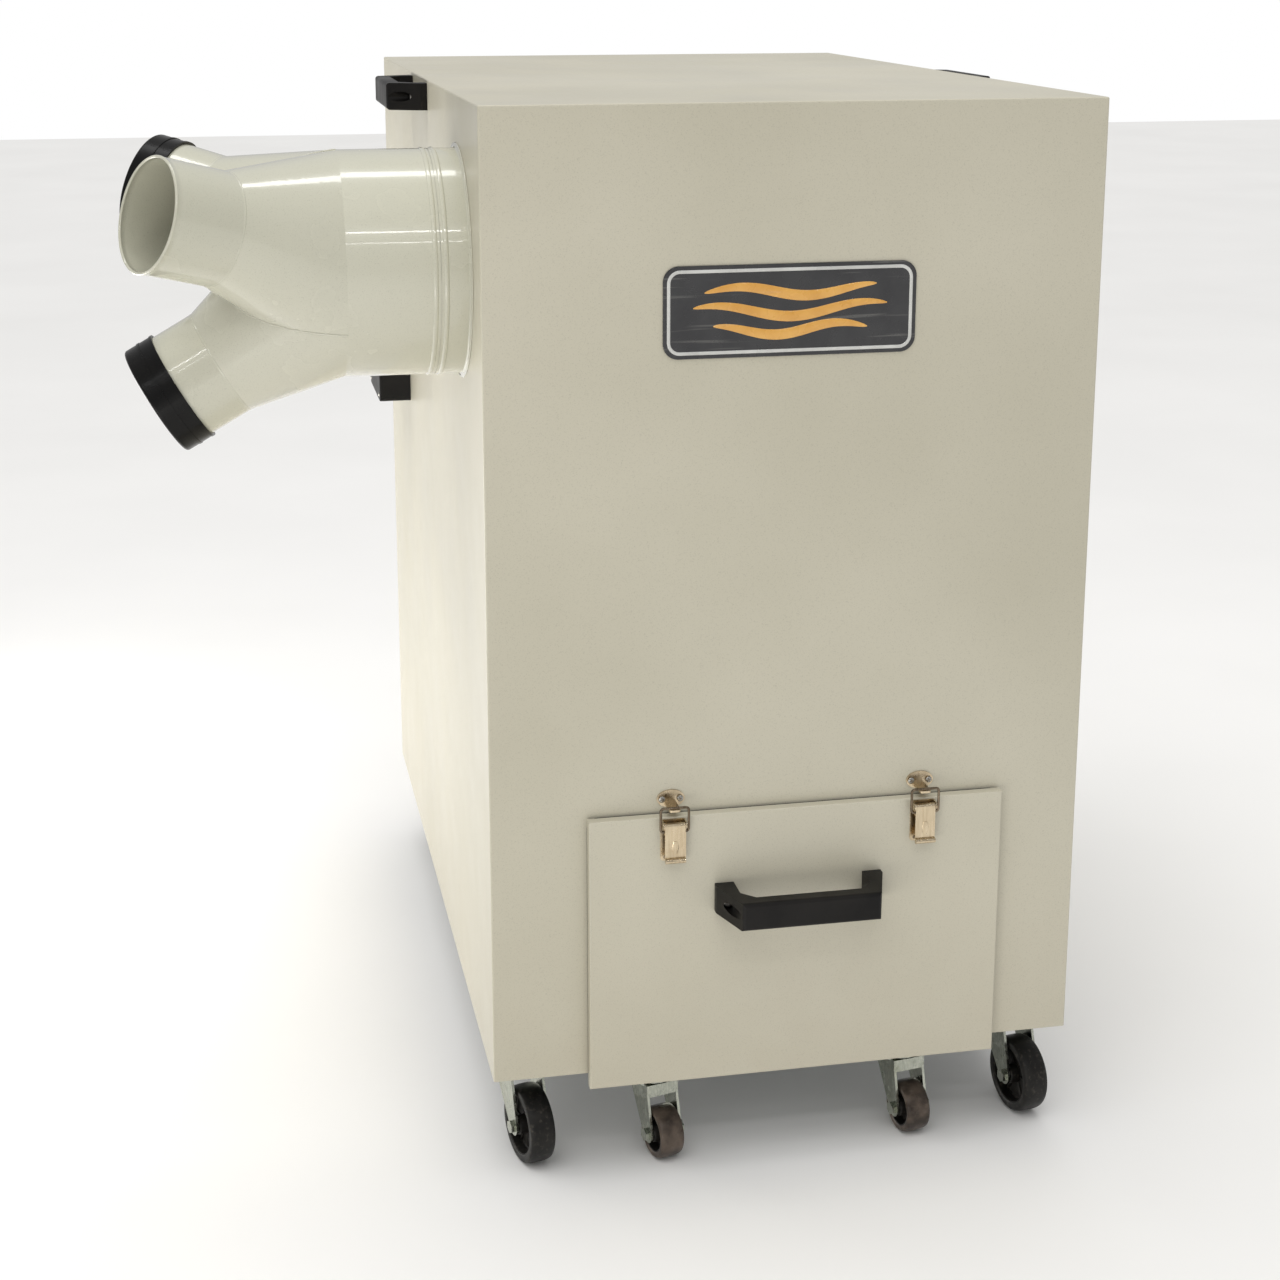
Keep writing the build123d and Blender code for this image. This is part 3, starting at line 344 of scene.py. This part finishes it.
def rubber(name, light, dark, gloss):
    """Wheel tyre: fine grain, floor dust pressed into it and small nicks."""
    made = Finish(name, roughness=gloss, IOR=1.5, Specular_IOR_Level=0.25)
    body = made.ramp(made.noise(70, 4), (0.35, dark), (0.7, light))
    dust = made.fit(made.noise(240, 5), 0.55, 0.75, 0.0, 0.14)
    made.colour(made.mix(dust, body, tone(140, 130, 116)))
    made.rough(made.noise(50, 3), gloss - 0.08, gloss + 0.14)
    nicks = made.fit(made.cells(220), 0.0, 0.12, 0.0, 1.0)
    made.bump(nicks, 0.4, 0.25)
    made.bump(made.noise(1100, 2), 0.25, 0.1)
    return made


def paper():
    """Resin-treated filter paper: fibres, and dust in the pleats."""
    made = Finish("filter_paper", roughness=0.88)
    fibres = made.noise(900, 4, stretch=(1, 0.25, 1))
    body = made.ramp(fibres, (0.3, tone(196, 182, 146)), (0.7, tone(224, 213, 182)))
    dust = made.fit(made.noise(14, 5), 0.45, 0.7, 0.0, 0.5)
    made.colour(made.mix(dust, body, tone(168, 146, 110)))
    made.bump(fibres, 0.4, 0.15)
    return made


def make_materials():
    """Every finish by the record's slot name."""
    return {
        "cabinet_paint": cabinet_paint(),
        "duct_paint": duct_paint(),
        "grille_paint": grille_paint(),
        "inner_sheet": inner_sheet(),
        "seal_foam": foam(),
        "nameplate_enamel": enamel("nameplate_enamel", tone(42, 42, 44), tone(30, 30, 33)),
        "black_moulding": moulding("black_moulding", tone(30, 28, 26), tone(16, 15, 15), 0.42, 0.12, 0.2),
        "cap_plastic": moulding("cap_plastic", tone(19, 18, 17), tone(9, 9, 9), 0.26, 0.03, 0.2),
        "screw_steel": worn_metal("screw_steel", tone(196, 194, 188), tone(150, 148, 142), 0.28),
        "start_green": moulding("start_green", tone(34, 128, 62), tone(24, 104, 48), 0.3, 0.04, 0.5),
        "stop_red": moulding("stop_red", tone(184, 32, 26), tone(156, 24, 20), 0.3, 0.04, 0.5),
        "filter_paper": paper(),
        "filter_cap_paint": enamel("filter_cap_paint", tone(70, 74, 78), tone(56, 60, 64), 0.45),
        "impeller_alloy": worn_metal("impeller_alloy", tone(190, 192, 194), tone(150, 153, 156), 0.36,
                                     (1, 0.1, 1)),
        "shaft_steel": worn_metal("shaft_steel", tone(186, 184, 180), tone(140, 138, 134), 0.24,
                                  (0.3, 6, 0.3)),
        "motor_paint": enamel("motor_paint", tone(92, 104, 116), tone(78, 90, 102), 0.4),
        "latch_nickel": worn_metal("latch_nickel", tone(216, 200, 172), tone(196, 178, 148), 0.22,
                                   (1, 1, 0.08), tone(170, 150, 120)),
        "latch_wire": worn_metal("latch_wire", tone(138, 124, 106), tone(96, 84, 70), 0.28,
                                 (1, 1, 0.1), tone(74, 64, 54)),
        "caster_zinc": worn_metal("caster_zinc", tone(196, 198, 186), tone(166, 170, 158), 0.2,
                                  (1, 1, 0.3), tone(150, 152, 132)),
        "wheel_rubber": rubber("wheel_rubber", tone(36, 34, 31), tone(17, 16, 15), 0.42),
        "tread_brown": rubber("tread_brown", tone(96, 84, 74), tone(56, 48, 42), 0.3),
    }


# ------------------------------------------------------------------ mesh helpers
def mesh_piece(name, points, faces, body, slot, smooth_angle=40, material=None):
    """A closed mesh piece with its material, its CAD body and its material slot."""
    mesh = bpy.data.meshes.new(name)
    mesh.from_pydata([tuple(p) for p in points], [], faces)
    work = bmesh.new()
    work.from_mesh(mesh)
    bmesh.ops.remove_doubles(work, verts=work.verts, dist=1e-6)
    bmesh.ops.recalc_face_normals(work, faces=work.faces)
    work.to_mesh(mesh)
    work.free()
    mesh.shade_smooth()
    mesh.set_sharp_from_angle(angle=radians(smooth_angle))
    mesh.materials.append(material or MATERIALS[slot].material)
    piece = bpy.data.objects.new(name, mesh)
    bpy.context.scene.collection.objects.link(piece)
    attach(piece, body)
    return piece


def frame_of(axis):
    """Two unit vectors across an axis."""
    axis = Vector(axis).normalized()
    side = axis.cross(Z if abs(axis.z) < 0.9 else X).normalized()
    return side, axis.cross(side)


class Shape:
    """Points and faces of one piece, gathered from several closed parts."""

    def __init__(self):
        self.points, self.faces = [], []

    def grid(self, rows, closed_rows, closed_columns):
        """Joins equal rows of points with quads; open ends of rows get caps of their own."""
        start, width = len(self.points), len(rows[0])
        for row in rows:
            self.points.extend(row)
        for i in range(len(rows) if closed_rows else len(rows) - 1):
            for j in range(width if closed_columns else width - 1):
                a, b = start + i * width, start + (i + 1) % len(rows) * width
                k = (j + 1) % width
                self.faces.append((a + j, a + k, b + k, b + j))
        if not closed_rows:
            self.faces.append(tuple(start + j for j in range(width)))
            self.faces.append(tuple(start + (len(rows) - 1) * width + j for j in range(width)))
        return self

    def lathe(self, centre, axis, profile, steps=64):
        """Turns a closed profile of (radius, height) points about an axis."""
        centre, axis = Vector(centre), Vector(axis).normalized()
        side, up = frame_of(axis)
        rows = []
        for i in range(steps):
            turn = 2 * pi * i / steps
            out = side * cos(turn) + up * sin(turn)
            rows.append([centre + out * radius + axis * height for radius, height in profile])
        return self.grid(rows, True, True)

    def dome(self, centre, axis, radius, height, steps=24, rings=5):
        """A low domed disc such as a rivet head, with its flat underside closed."""
        centre, axis = Vector(centre), Vector(axis).normalized()
        side, up = frame_of(axis)
        rows = []
        for i in range(rings):
            lift = pi / 2 * i / rings
            rows.append([centre + axis * (height * sin(lift)) + (side * cos(2 * pi * j / steps)
                         + up * sin(2 * pi * j / steps)) * radius * cos(lift) for j in range(steps)])
        return self.grid(rows, False, True)

    def tube(self, path, radius, closed=False, sides=12, flat=1.0, normal=None):
        """Sweeps a round or flattened section along points; flat scales it along the normal."""
        rows = []
        count = len(path)
        for i, point in enumerate(path):
            before = path[i - 1] if i or closed else point
            after = path[(i + 1) % count] if i < count - 1 or closed else point
            along = (Vector(after) - Vector(before)).normalized()
            up = (Vector(normal) if normal else frame_of(along)[1])
            side = along.cross(up).normalized()
            up = side.cross(along)
            size = radius[i] if isinstance(radius, list) else radius
            rows.append([Vector(point) + side * size * cos(2 * pi * j / sides)
                         + up * size * flat * sin(2 * pi * j / sides) for j in range(sides)])
        return self.grid(rows, closed, True)

    def piece(self, name, body, slot, **settings):
        return mesh_piece(name, self.points, self.faces, body, slot, **settings)


def centre_of(node):
    low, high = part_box(node)
    return (low + high) / 2


def rounded_loop(centre, across, up, half_width, half_height, radius, corner_steps=8):
    """Points round a rectangle with rounded corners."""
    points = []
    for number, (sx, sy) in enumerate(((1, 1), (-1, 1), (-1, -1), (1, -1))):
        for i in range(corner_steps + 1):
            turn = pi / 2 * (number + i / corner_steps)
            points.append(centre + across * (sx * (half_width - radius) + radius * cos(turn))
                          + up * (sy * (half_height - radius) + radius * sin(turn)))
    return points


MATERIALS = {}
make_camera()
MATERIALS.update(make_materials())
make_studio()
for node in NODES.values():
    slot_name = node.data.materials[0].name.split(".")[0]
    node.data.materials[0] = MATERIALS[slot_name].material

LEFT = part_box("left_side_panel")[0].x
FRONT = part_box("front_panel")[0].y
DRAWER_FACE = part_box("drawer_front")[0].y
PLATE_LOW, PLATE_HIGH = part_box("nameplate")

COLLAR_OUT, BARREL_OUT = 27 * MM, 109 * MM      # side face to the slip joint, and to the barrel's end
BRANCH_R, DUCT_WALL = 50.8 * MM, 1.2 * MM       # branch's outside radius, sheet thickness
SPLAY, APEX_OUT = 30, 68 * MM                   # branch axis to barrel axis in degrees; axes' crossing
CONE_END, BRANCH_END = 174 * MM, 240 * MM       # along a branch axis from that crossing
BRANCH_ROLLS = {"open": 150, "rear": 30, "lower": -90}  # about the barrel, degrees
BIG_WHEEL = (37.5 * MM, 13 * MM)                # radius and half width
SMALL_WHEEL = (25 * MM, 12.5 * MM)
BIG_CUP_R, SMALL_CUP_R = 27 * MM, 22 * MM
CATCH_HALF_HEIGHT, CATCH_SCREW = 8.5 * MM, 8.6 * MM
RIVET_SIDE, RIVET_UP = 7.5 * MM, 3.4 * MM       # latch base's rivets from its middle and its foot
LEVER_FACE_BACK = 3.6 * MM                      # lever's flat face behind its lip
SWITCH_SCREW_IN = 8 * MM                        # lid screws in from the switch box's edges
MESH_IN, MESH_PITCH, MESH_WIRE_R = 17 * MM, 8 * MM, 0.45 * MM


# ------------------------------------------------------------------ nameplate
def make_nameplate():
    """A pale raised border and three air-stream lines on the dark plate."""
    face = PLATE_LOW.y
    centre = centre_of("nameplate")
    centre.y = face
    half_w, half_h = (PLATE_HIGH.x - PLATE_LOW.x) / 2, (PLATE_HIGH.z - PLATE_LOW.z) / 2
    border = Shape().tube(rounded_loop(centre, X, Z, half_w - 5 * MM, half_h - 5 * MM, 10 * MM),
                          1.5 * MM, closed=True, flat=0.35, normal=Y)
    border.piece("nameplate_border", "cabinet", "nameplate_enamel",
                 material=enamel("nameplate_silver", tone(206, 206, 202), tone(188, 188, 184)).material)
    streams = Shape()
    for row, (lift, length, swing) in enumerate(((17, 78, 4.5), (0, 88, 5.5), (-17, 70, 4.5))):
        steps = 48
        path, sizes = [], []
        for i in range(steps + 1):
            t = i / steps
            rise = lift + swing * sin(2 * pi * (1.25 * t + 0.12 * row))
            path.append(centre + X * ((2 * t - 1) * length * MM) + Z * rise * MM)
            sizes.append((0.5 + 4.2 * (4 * t * (1 - t)) ** 0.6) * MM)
        streams.tube(path, sizes, flat=0.16, normal=Y, sides=16)
    streams.piece("nameplate_streams", "cabinet", "nameplate_enamel",
                  material=enamel("nameplate_amber", tone(224, 170, 84), tone(210, 152, 66)).material)


def make_duct_details():
    """A narrow flange where the duct leaves the cabinet and rolled beads beside the slip joint."""
    low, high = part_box("inlet_collar")
    radius = (high.y - low.y) / 2
    hub = Vector((LEFT, (low.y + high.y) / 2, (low.z + high.z) / 2))
    flange = Shape().lathe(hub, -X, [(radius - 0.4 * MM, 0), (radius + 4.4 * MM, 0),
                                     (radius + 4.8 * MM, 0.4 * MM), (radius + 4.4 * MM, 0.9 * MM),
                                     (radius + 1.8 * MM, 1.1 * MM), (radius + 0.6 * MM, 1.9 * MM),
                                     (radius - 0.4 * MM, 3 * MM)], steps=128)
    flange.piece("collar_flange", "cabinet", "duct_paint")
    seam = hub - X * COLLAR_OUT
    beads = Shape()
    for offset, height in ((-4.5 * MM, 1.1 * MM), (5 * MM, 0.9 * MM)):
        profile = [(radius - 0.5 * MM, offset - 2.2 * MM), (radius - 0.5 * MM, offset + 2.2 * MM)]
        for i in range(9):
            bend = pi * i / 8
            profile.append((radius + height * sin(bend), offset + 2.2 * MM * cos(bend)))
        beads.lathe(seam, -X, profile, steps=128)
    beads.piece("duct_beads", "cabinet", "duct_paint")


def branch_frame(roll):
    """Centre on the cabinet side, and the branch's direction, for a roll about the barrel."""
    low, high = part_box("inlet_collar")
    hub = Vector((LEFT - APEX_OUT, (low.y + high.y) / 2, (low.z + high.z) / 2))
    lean, roll = radians(SPLAY), radians(roll)
    return hub, Vector((-cos(lean), sin(lean) * cos(roll), sin(lean) * sin(roll)))


def ring_points(centre, axis, aside, radius, turns):
    """Points of a circle at the given turns from a sideways direction."""
    up = axis.cross(aside)
    return [centre + (aside * cos(t) + up * sin(t)) * radius for t in turns]


def crotch_line(first, second, barrel_end, duct_radius):
    """Where two neighbouring cones meet, from the crotch to the barrel, in their middle plane."""
    hub, out = branch_frame(first)
    aside = (-X).cross(out).normalized()
    middle = radians((first + second) / 2)
    across = Vector((0, -sin(middle), cos(middle)))
    turns = [2 * pi * i / 360 for i in range(361)]
    mouth = ring_points(hub + out * CONE_END, out, aside, BRANCH_R, turns)
    root = ring_points(barrel_end, -X, aside, duct_radius, turns)
    ridge = Vector((0, cos(middle), sin(middle)))
    line = []
    for step in range(41):
        share = step / 40
        ring = [a.lerp(b, share) for a, b in zip(mouth, root)]
        best = None
        for a, b in zip(ring, ring[1:]):
            side_a, side_b = (a - hub).dot(across), (b - hub).dot(across)
            if side_a * side_b > 0 or side_a == side_b:
                continue
            point = a.lerp(b, side_a / (side_a - side_b))
            if (point - hub).dot(ridge) > 0 and (best is None or
                                                (point - hub).dot(ridge) > (best - hub).dot(ridge)):
                best = point
        if best is not None:
            line.append(best)
    return line


def make_branches():
    """A rolled hem on the open branch, a bead at each cone's end and welds where the cones meet."""
    low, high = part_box("inlet_collar")
    duct_radius = (high.y - low.y) / 2
    barrel_end = Vector((LEFT - BARREL_OUT, (low.y + high.y) / 2, (low.z + high.z) / 2))
    hub, out = branch_frame(BRANCH_ROLLS["open"])
    inner = BRANCH_R - DUCT_WALL
    hem = [(inner - 0.1 * MM, -6 * MM), (BRANCH_R + 0.1 * MM, -6 * MM)]
    for i in range(13):
        bend = -pi * 0.25 + pi * 1.5 * i / 12
        hem.append(((inner + BRANCH_R) / 2 + 1.3 * MM * cos(bend), -1.3 * MM + 1.3 * MM * sin(bend)))
    Shape().lathe(hub + out * BRANCH_END, out, hem, steps=96).piece(
        "open_branch_hem", "cabinet", "duct_paint")
    rolls = list(BRANCH_ROLLS.values())
    welds = Shape()
    for first, second in zip(rolls, rolls[1:] + [rolls[0] - 360]):
        line = crotch_line(first, second, barrel_end, duct_radius)
        if len(line) > 3:
            sizes = [1.1 * MM * (1 + 0.22 * sin(i * 2.4)) for i in range(len(line))]
            welds.tube(line, sizes, sides=10)
    for roll in rolls:
        hub, out = branch_frame(roll)
        profile = [(BRANCH_R - 0.4 * MM, -1.6 * MM), (BRANCH_R - 0.4 * MM, 1.6 * MM),
                   (BRANCH_R + 0.16 * MM, 0.9 * MM), (BRANCH_R + 0.24 * MM, 0),
                   (BRANCH_R + 0.16 * MM, -0.9 * MM)]
        welds.lathe(hub + out * CONE_END, out, profile, steps=96)
    welds.piece("wye_welds", "cabinet", "duct_paint")


def wheel_section(radius, half, depth):
    """A tyre's outside: a flat-crowned tread that rounds into its flanks."""
    section = []
    for i in range(25):
        bend = pi * (i / 24 - 0.5)
        share = abs(sin(bend)) ** 0.75 * (1 if bend > 0 else -1)
        section.append((radius - depth * (1 - abs(cos(bend)) ** 0.32), share * half))
    return section


def make_wheel(node, radius, half, tyre_slot):
    """One wheel: a moulded tyre on a core with a hub and six ribs on each face."""
    joint = JOINTS[node.replace("_wheel", "_roll")]
    centre, axis = Vector(joint["pos_m"]), Vector(joint["axis"])
    depth = 0.2 * radius
    inner = radius - depth - 1.4 * MM
    tyre = [(inner, half - 1.2 * MM), (inner, 1.2 * MM - half)]
    tyre += wheel_section(radius, half - 0.4 * MM, depth)
    piece = Shape().lathe(centre, axis, tyre, steps=96).piece(f"{node}_tyre", node, tyre_slot)
    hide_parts(node)
    hub_radius, bore = 9 * MM, 4.1 * MM
    web = 2.2 * MM
    core = Shape().lathe(centre, axis, [
        (bore, -half), (bore, half), (hub_radius - 0.8 * MM, half), (hub_radius, half - 0.8 * MM),
        (hub_radius + 0.6 * MM, web + 0.8 * MM), (hub_radius + 1.6 * MM, web),
        (inner - 2.4 * MM, web), (inner - 1.6 * MM, web + 0.8 * MM),
        (inner - 1.2 * MM, half - 1.6 * MM), (inner + 0.2 * MM, half - 1.6 * MM),
        (inner + 0.2 * MM, 1.6 * MM - half), (inner - 1.2 * MM, 1.6 * MM - half),
        (inner - 1.6 * MM, -web - 0.8 * MM), (inner - 2.4 * MM, -web),
        (hub_radius + 1.6 * MM, -web), (hub_radius + 0.6 * MM, -web - 0.8 * MM),
        (hub_radius, 0.8 * MM - half), (hub_radius - 0.8 * MM, -half)], steps=72)
    side, up = frame_of(axis)
    for face in (-1, 1):
        for i in range(6):
            turn = 2 * pi * i / 6
            spoke = side * cos(turn) + up * sin(turn)
            rib = [centre + spoke * reach + axis * face * (web + 0.6 * MM)
                   for reach in (hub_radius - 1 * MM, (hub_radius + inner) / 2, inner - 0.8 * MM)]
            core.tube(rib, 1.5 * MM, sides=10)
    core.piece(f"{node}_core", node, "wheel_rubber")


def make_casters():
    """Wheels with their own tyres, and a rolled dust cup round each swivel bearing."""
    for prefix, body, (radius, half), cup, tyre_slot in (
            ("", "cabinet", BIG_WHEEL, BIG_CUP_R, "wheel_rubber"),
            ("drawer_", "drawer", SMALL_WHEEL, SMALL_CUP_R, "tread_brown")):
        cups = Shape()
        for side in ("left", "right"):
            for end in ("front", "rear"):
                make_wheel(f"{prefix}{end}_{side}_wheel", radius, half, tyre_slot)
            fork = f"{prefix}front_{side}_fork"
            pivot = Vector(JOINTS[fork.replace("_fork", "_swivel")]["pos_m"])
            pivot.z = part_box(fork)[1].z
            cups.lathe(pivot, Z, [(cup - 6 * MM, 1 * MM), (cup - 1 * MM, 0.5 * MM),
                                  (cup, 1.1 * MM), (cup - 0.2 * MM, 2.6 * MM),
                                  (cup - 2 * MM, 4.4 * MM), (cup - 6 * MM, 5 * MM)], steps=64)
        cups.piece(f"{prefix}caster_dust_cups", body, "caster_zinc")


def make_latch_details():
    """Screw heads on the catches with darker bars across them as painted shade of their cross recesses,
    rivets on the bases and a pressed rib on each lever.
    """
    screw_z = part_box("latch_catches")[1].z - CATCH_HALF_HEIGHT
    rivet_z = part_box("latch_bases")[0].z + RIVET_UP
    heads, recess_shade_bars, rivets = Shape(), Shape(), Shape()
    for side in ("left", "right"):
        pivot = Vector(JOINTS[f"{side}_latch_lift"]["pos_m"])
        for way in (-1, 1):
            at = Vector((pivot.x + way * CATCH_SCREW, FRONT - 2.7 * MM, screw_z))
            heads.dome(at, -Y, 3.1 * MM, 1.1 * MM)
            # Two raised bars in darker metal stand for the shade inside the cross recess: painted shade,
            # not a cut recess.
            for turn in (0.35, 0.35 + pi / 2):
                bar = (X * cos(turn) + Z * sin(turn)) * 1.9 * MM
                top = at - Y * 1.0 * MM
                recess_shade_bars.tube([top - bar, top, top + bar], 0.32 * MM, sides=6)
            rivets.dome(Vector((pivot.x + way * RIVET_SIDE, DRAWER_FACE - 1.1 * MM, rivet_z)),
                        -Y, 1.8 * MM, 0.8 * MM)
        lever_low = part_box(f"{side}_latch_lever")[0]
        face = lever_low.y + LEVER_FACE_BACK
        rib = [Vector((pivot.x, face, lever_low.z + (9 + 2 * i) * MM)) for i in range(7)]
        sizes = [(1.2 + 2.2 * sin(pi * (i + 0.6) / 7.2)) * MM for i in range(7)]
        Shape().tube(rib, sizes, flat=0.22, normal=Y, sides=16).piece(
            f"{side}_lever_rib", f"{side}_lever", "latch_nickel")
    heads.piece("catch_screw_heads", "cabinet", "screw_steel")
    # The darker cross bars on the screw heads are painted shade of their recesses.
    recess_shade_bars.piece("catch_screw_recess_shade_bars", "cabinet", "latch_wire")
    rivets.piece("latch_rivets", "drawer", "latch_wire")


def make_switch_details():
    """Polished bezels round both buttons, finger dishes on them and the lid's four screws."""
    box_low, box_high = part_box("switch_box")
    bezels = Shape()
    for button in ("start_button", "stop_button"):
        low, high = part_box(button)
        centre = (low + high) / 2
        radius = (high.y - low.y) / 2
        at = Vector((low.x + 4.4 * MM, centre.y, centre.z))
        bezels.lathe(at, -X, [(radius + 0.35 * MM, -1 * MM), (radius + 4 * MM, -1 * MM),
                              (radius + 3.6 * MM, 1.2 * MM), (radius + 2.2 * MM, 2.2 * MM),
                              (radius + 0.6 * MM, 2.0 * MM), (radius + 0.35 * MM, 1.4 * MM)], steps=72)
        dish = Vector((low.x + 0.25 * MM, centre.y, centre.z))
        Shape().lathe(dish, -X, [(radius - 3.2 * MM, -0.6 * MM), (radius - 1.8 * MM, -0.6 * MM),
                                 (radius - 2.1 * MM, 0.15 * MM), (radius - 2.8 * MM, 0.2 * MM)],
                      steps=48).piece(f"{button}_ring", button,
                                      "start_green" if button == "start_button" else "stop_red")
    bezels.piece("button_bezels", "cabinet", "screw_steel")
    screws = Shape()
    for y in (box_low.y + SWITCH_SCREW_IN, box_high.y - SWITCH_SCREW_IN):
        for z in (box_low.z + SWITCH_SCREW_IN, box_high.z - SWITCH_SCREW_IN):
            screws.dome(Vector((box_low.x + 1.6 * MM, y, z)), -X, 3 * MM, 1.2 * MM)
    screws.piece("switch_lid_screws", "cabinet", "screw_steel")


def make_seal():
    """The drawer's sponge strip: one soft bulb up both sides of the opening and across its top."""
    low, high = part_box("drawer_seal")
    middle_y = (low.y + high.y) / 2
    width = 3.7 * MM
    left, right, top = low.x + width, high.x - width, high.z - width
    bend, foot = 6 * MM, low.z + 0.05 * MM
    rise = top - low.z - bend
    path = [Vector((left, middle_y, foot + rise * i / 12)) for i in range(13)]
    for i in range(1, 7):
        turn = pi / 2 * i / 6
        path.append(Vector((left + bend * (1 - cos(turn)), middle_y, top - bend * (1 - sin(turn)))))
    path += [Vector((left + bend + (right - left - 2 * bend) * i / 16, middle_y, top))
             for i in range(1, 17)]
    for i in range(1, 7):
        turn = pi / 2 * i / 6
        path.append(Vector((right - bend * (1 - sin(turn)), middle_y, top - bend * (1 - cos(turn)))))
    path += [Vector((right, middle_y, low.z + rise * (1 - i / 12))) for i in range(1, 13)]
    path[-1].z = foot
    half = (high.y - low.y) / 2
    seal = Shape().tube(path, width, flat=half / width, normal=Y, sides=20)
    piece = seal.piece("drawer_sponge_strip", NODES["drawer_seal"]["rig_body"], "seal_foam")
    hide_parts("drawer_seal")


def make_grille_mesh():
    """Fine crossed wires close behind the exhaust grille's slats."""
    low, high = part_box("exhaust_grille")
    y = low.y + 0.8 * MM
    left, right = low.x + MESH_IN, high.x - MESH_IN
    bottom, top = low.z + MESH_IN, high.z - MESH_IN
    wires = Shape()
    for i in range(1, int((right - left) / MESH_PITCH)):
        x = left + i * MESH_PITCH
        wires.tube([Vector((x, y, bottom)), Vector((x, y, top))], MESH_WIRE_R, sides=6)
    back = y + MESH_WIRE_R
    for i in range(1, int((top - bottom) / MESH_PITCH)):
        z = bottom + i * MESH_PITCH
        wires.tube([Vector((left, back, z)), Vector((right, back, z))], MESH_WIRE_R, sides=6)
    wires.piece("grille_wire_mesh", "cabinet", "screw_steel")


make_nameplate()
make_duct_details()
make_branches()
make_casters()
make_latch_details()
make_switch_details()
make_seal()
make_grille_mesh()
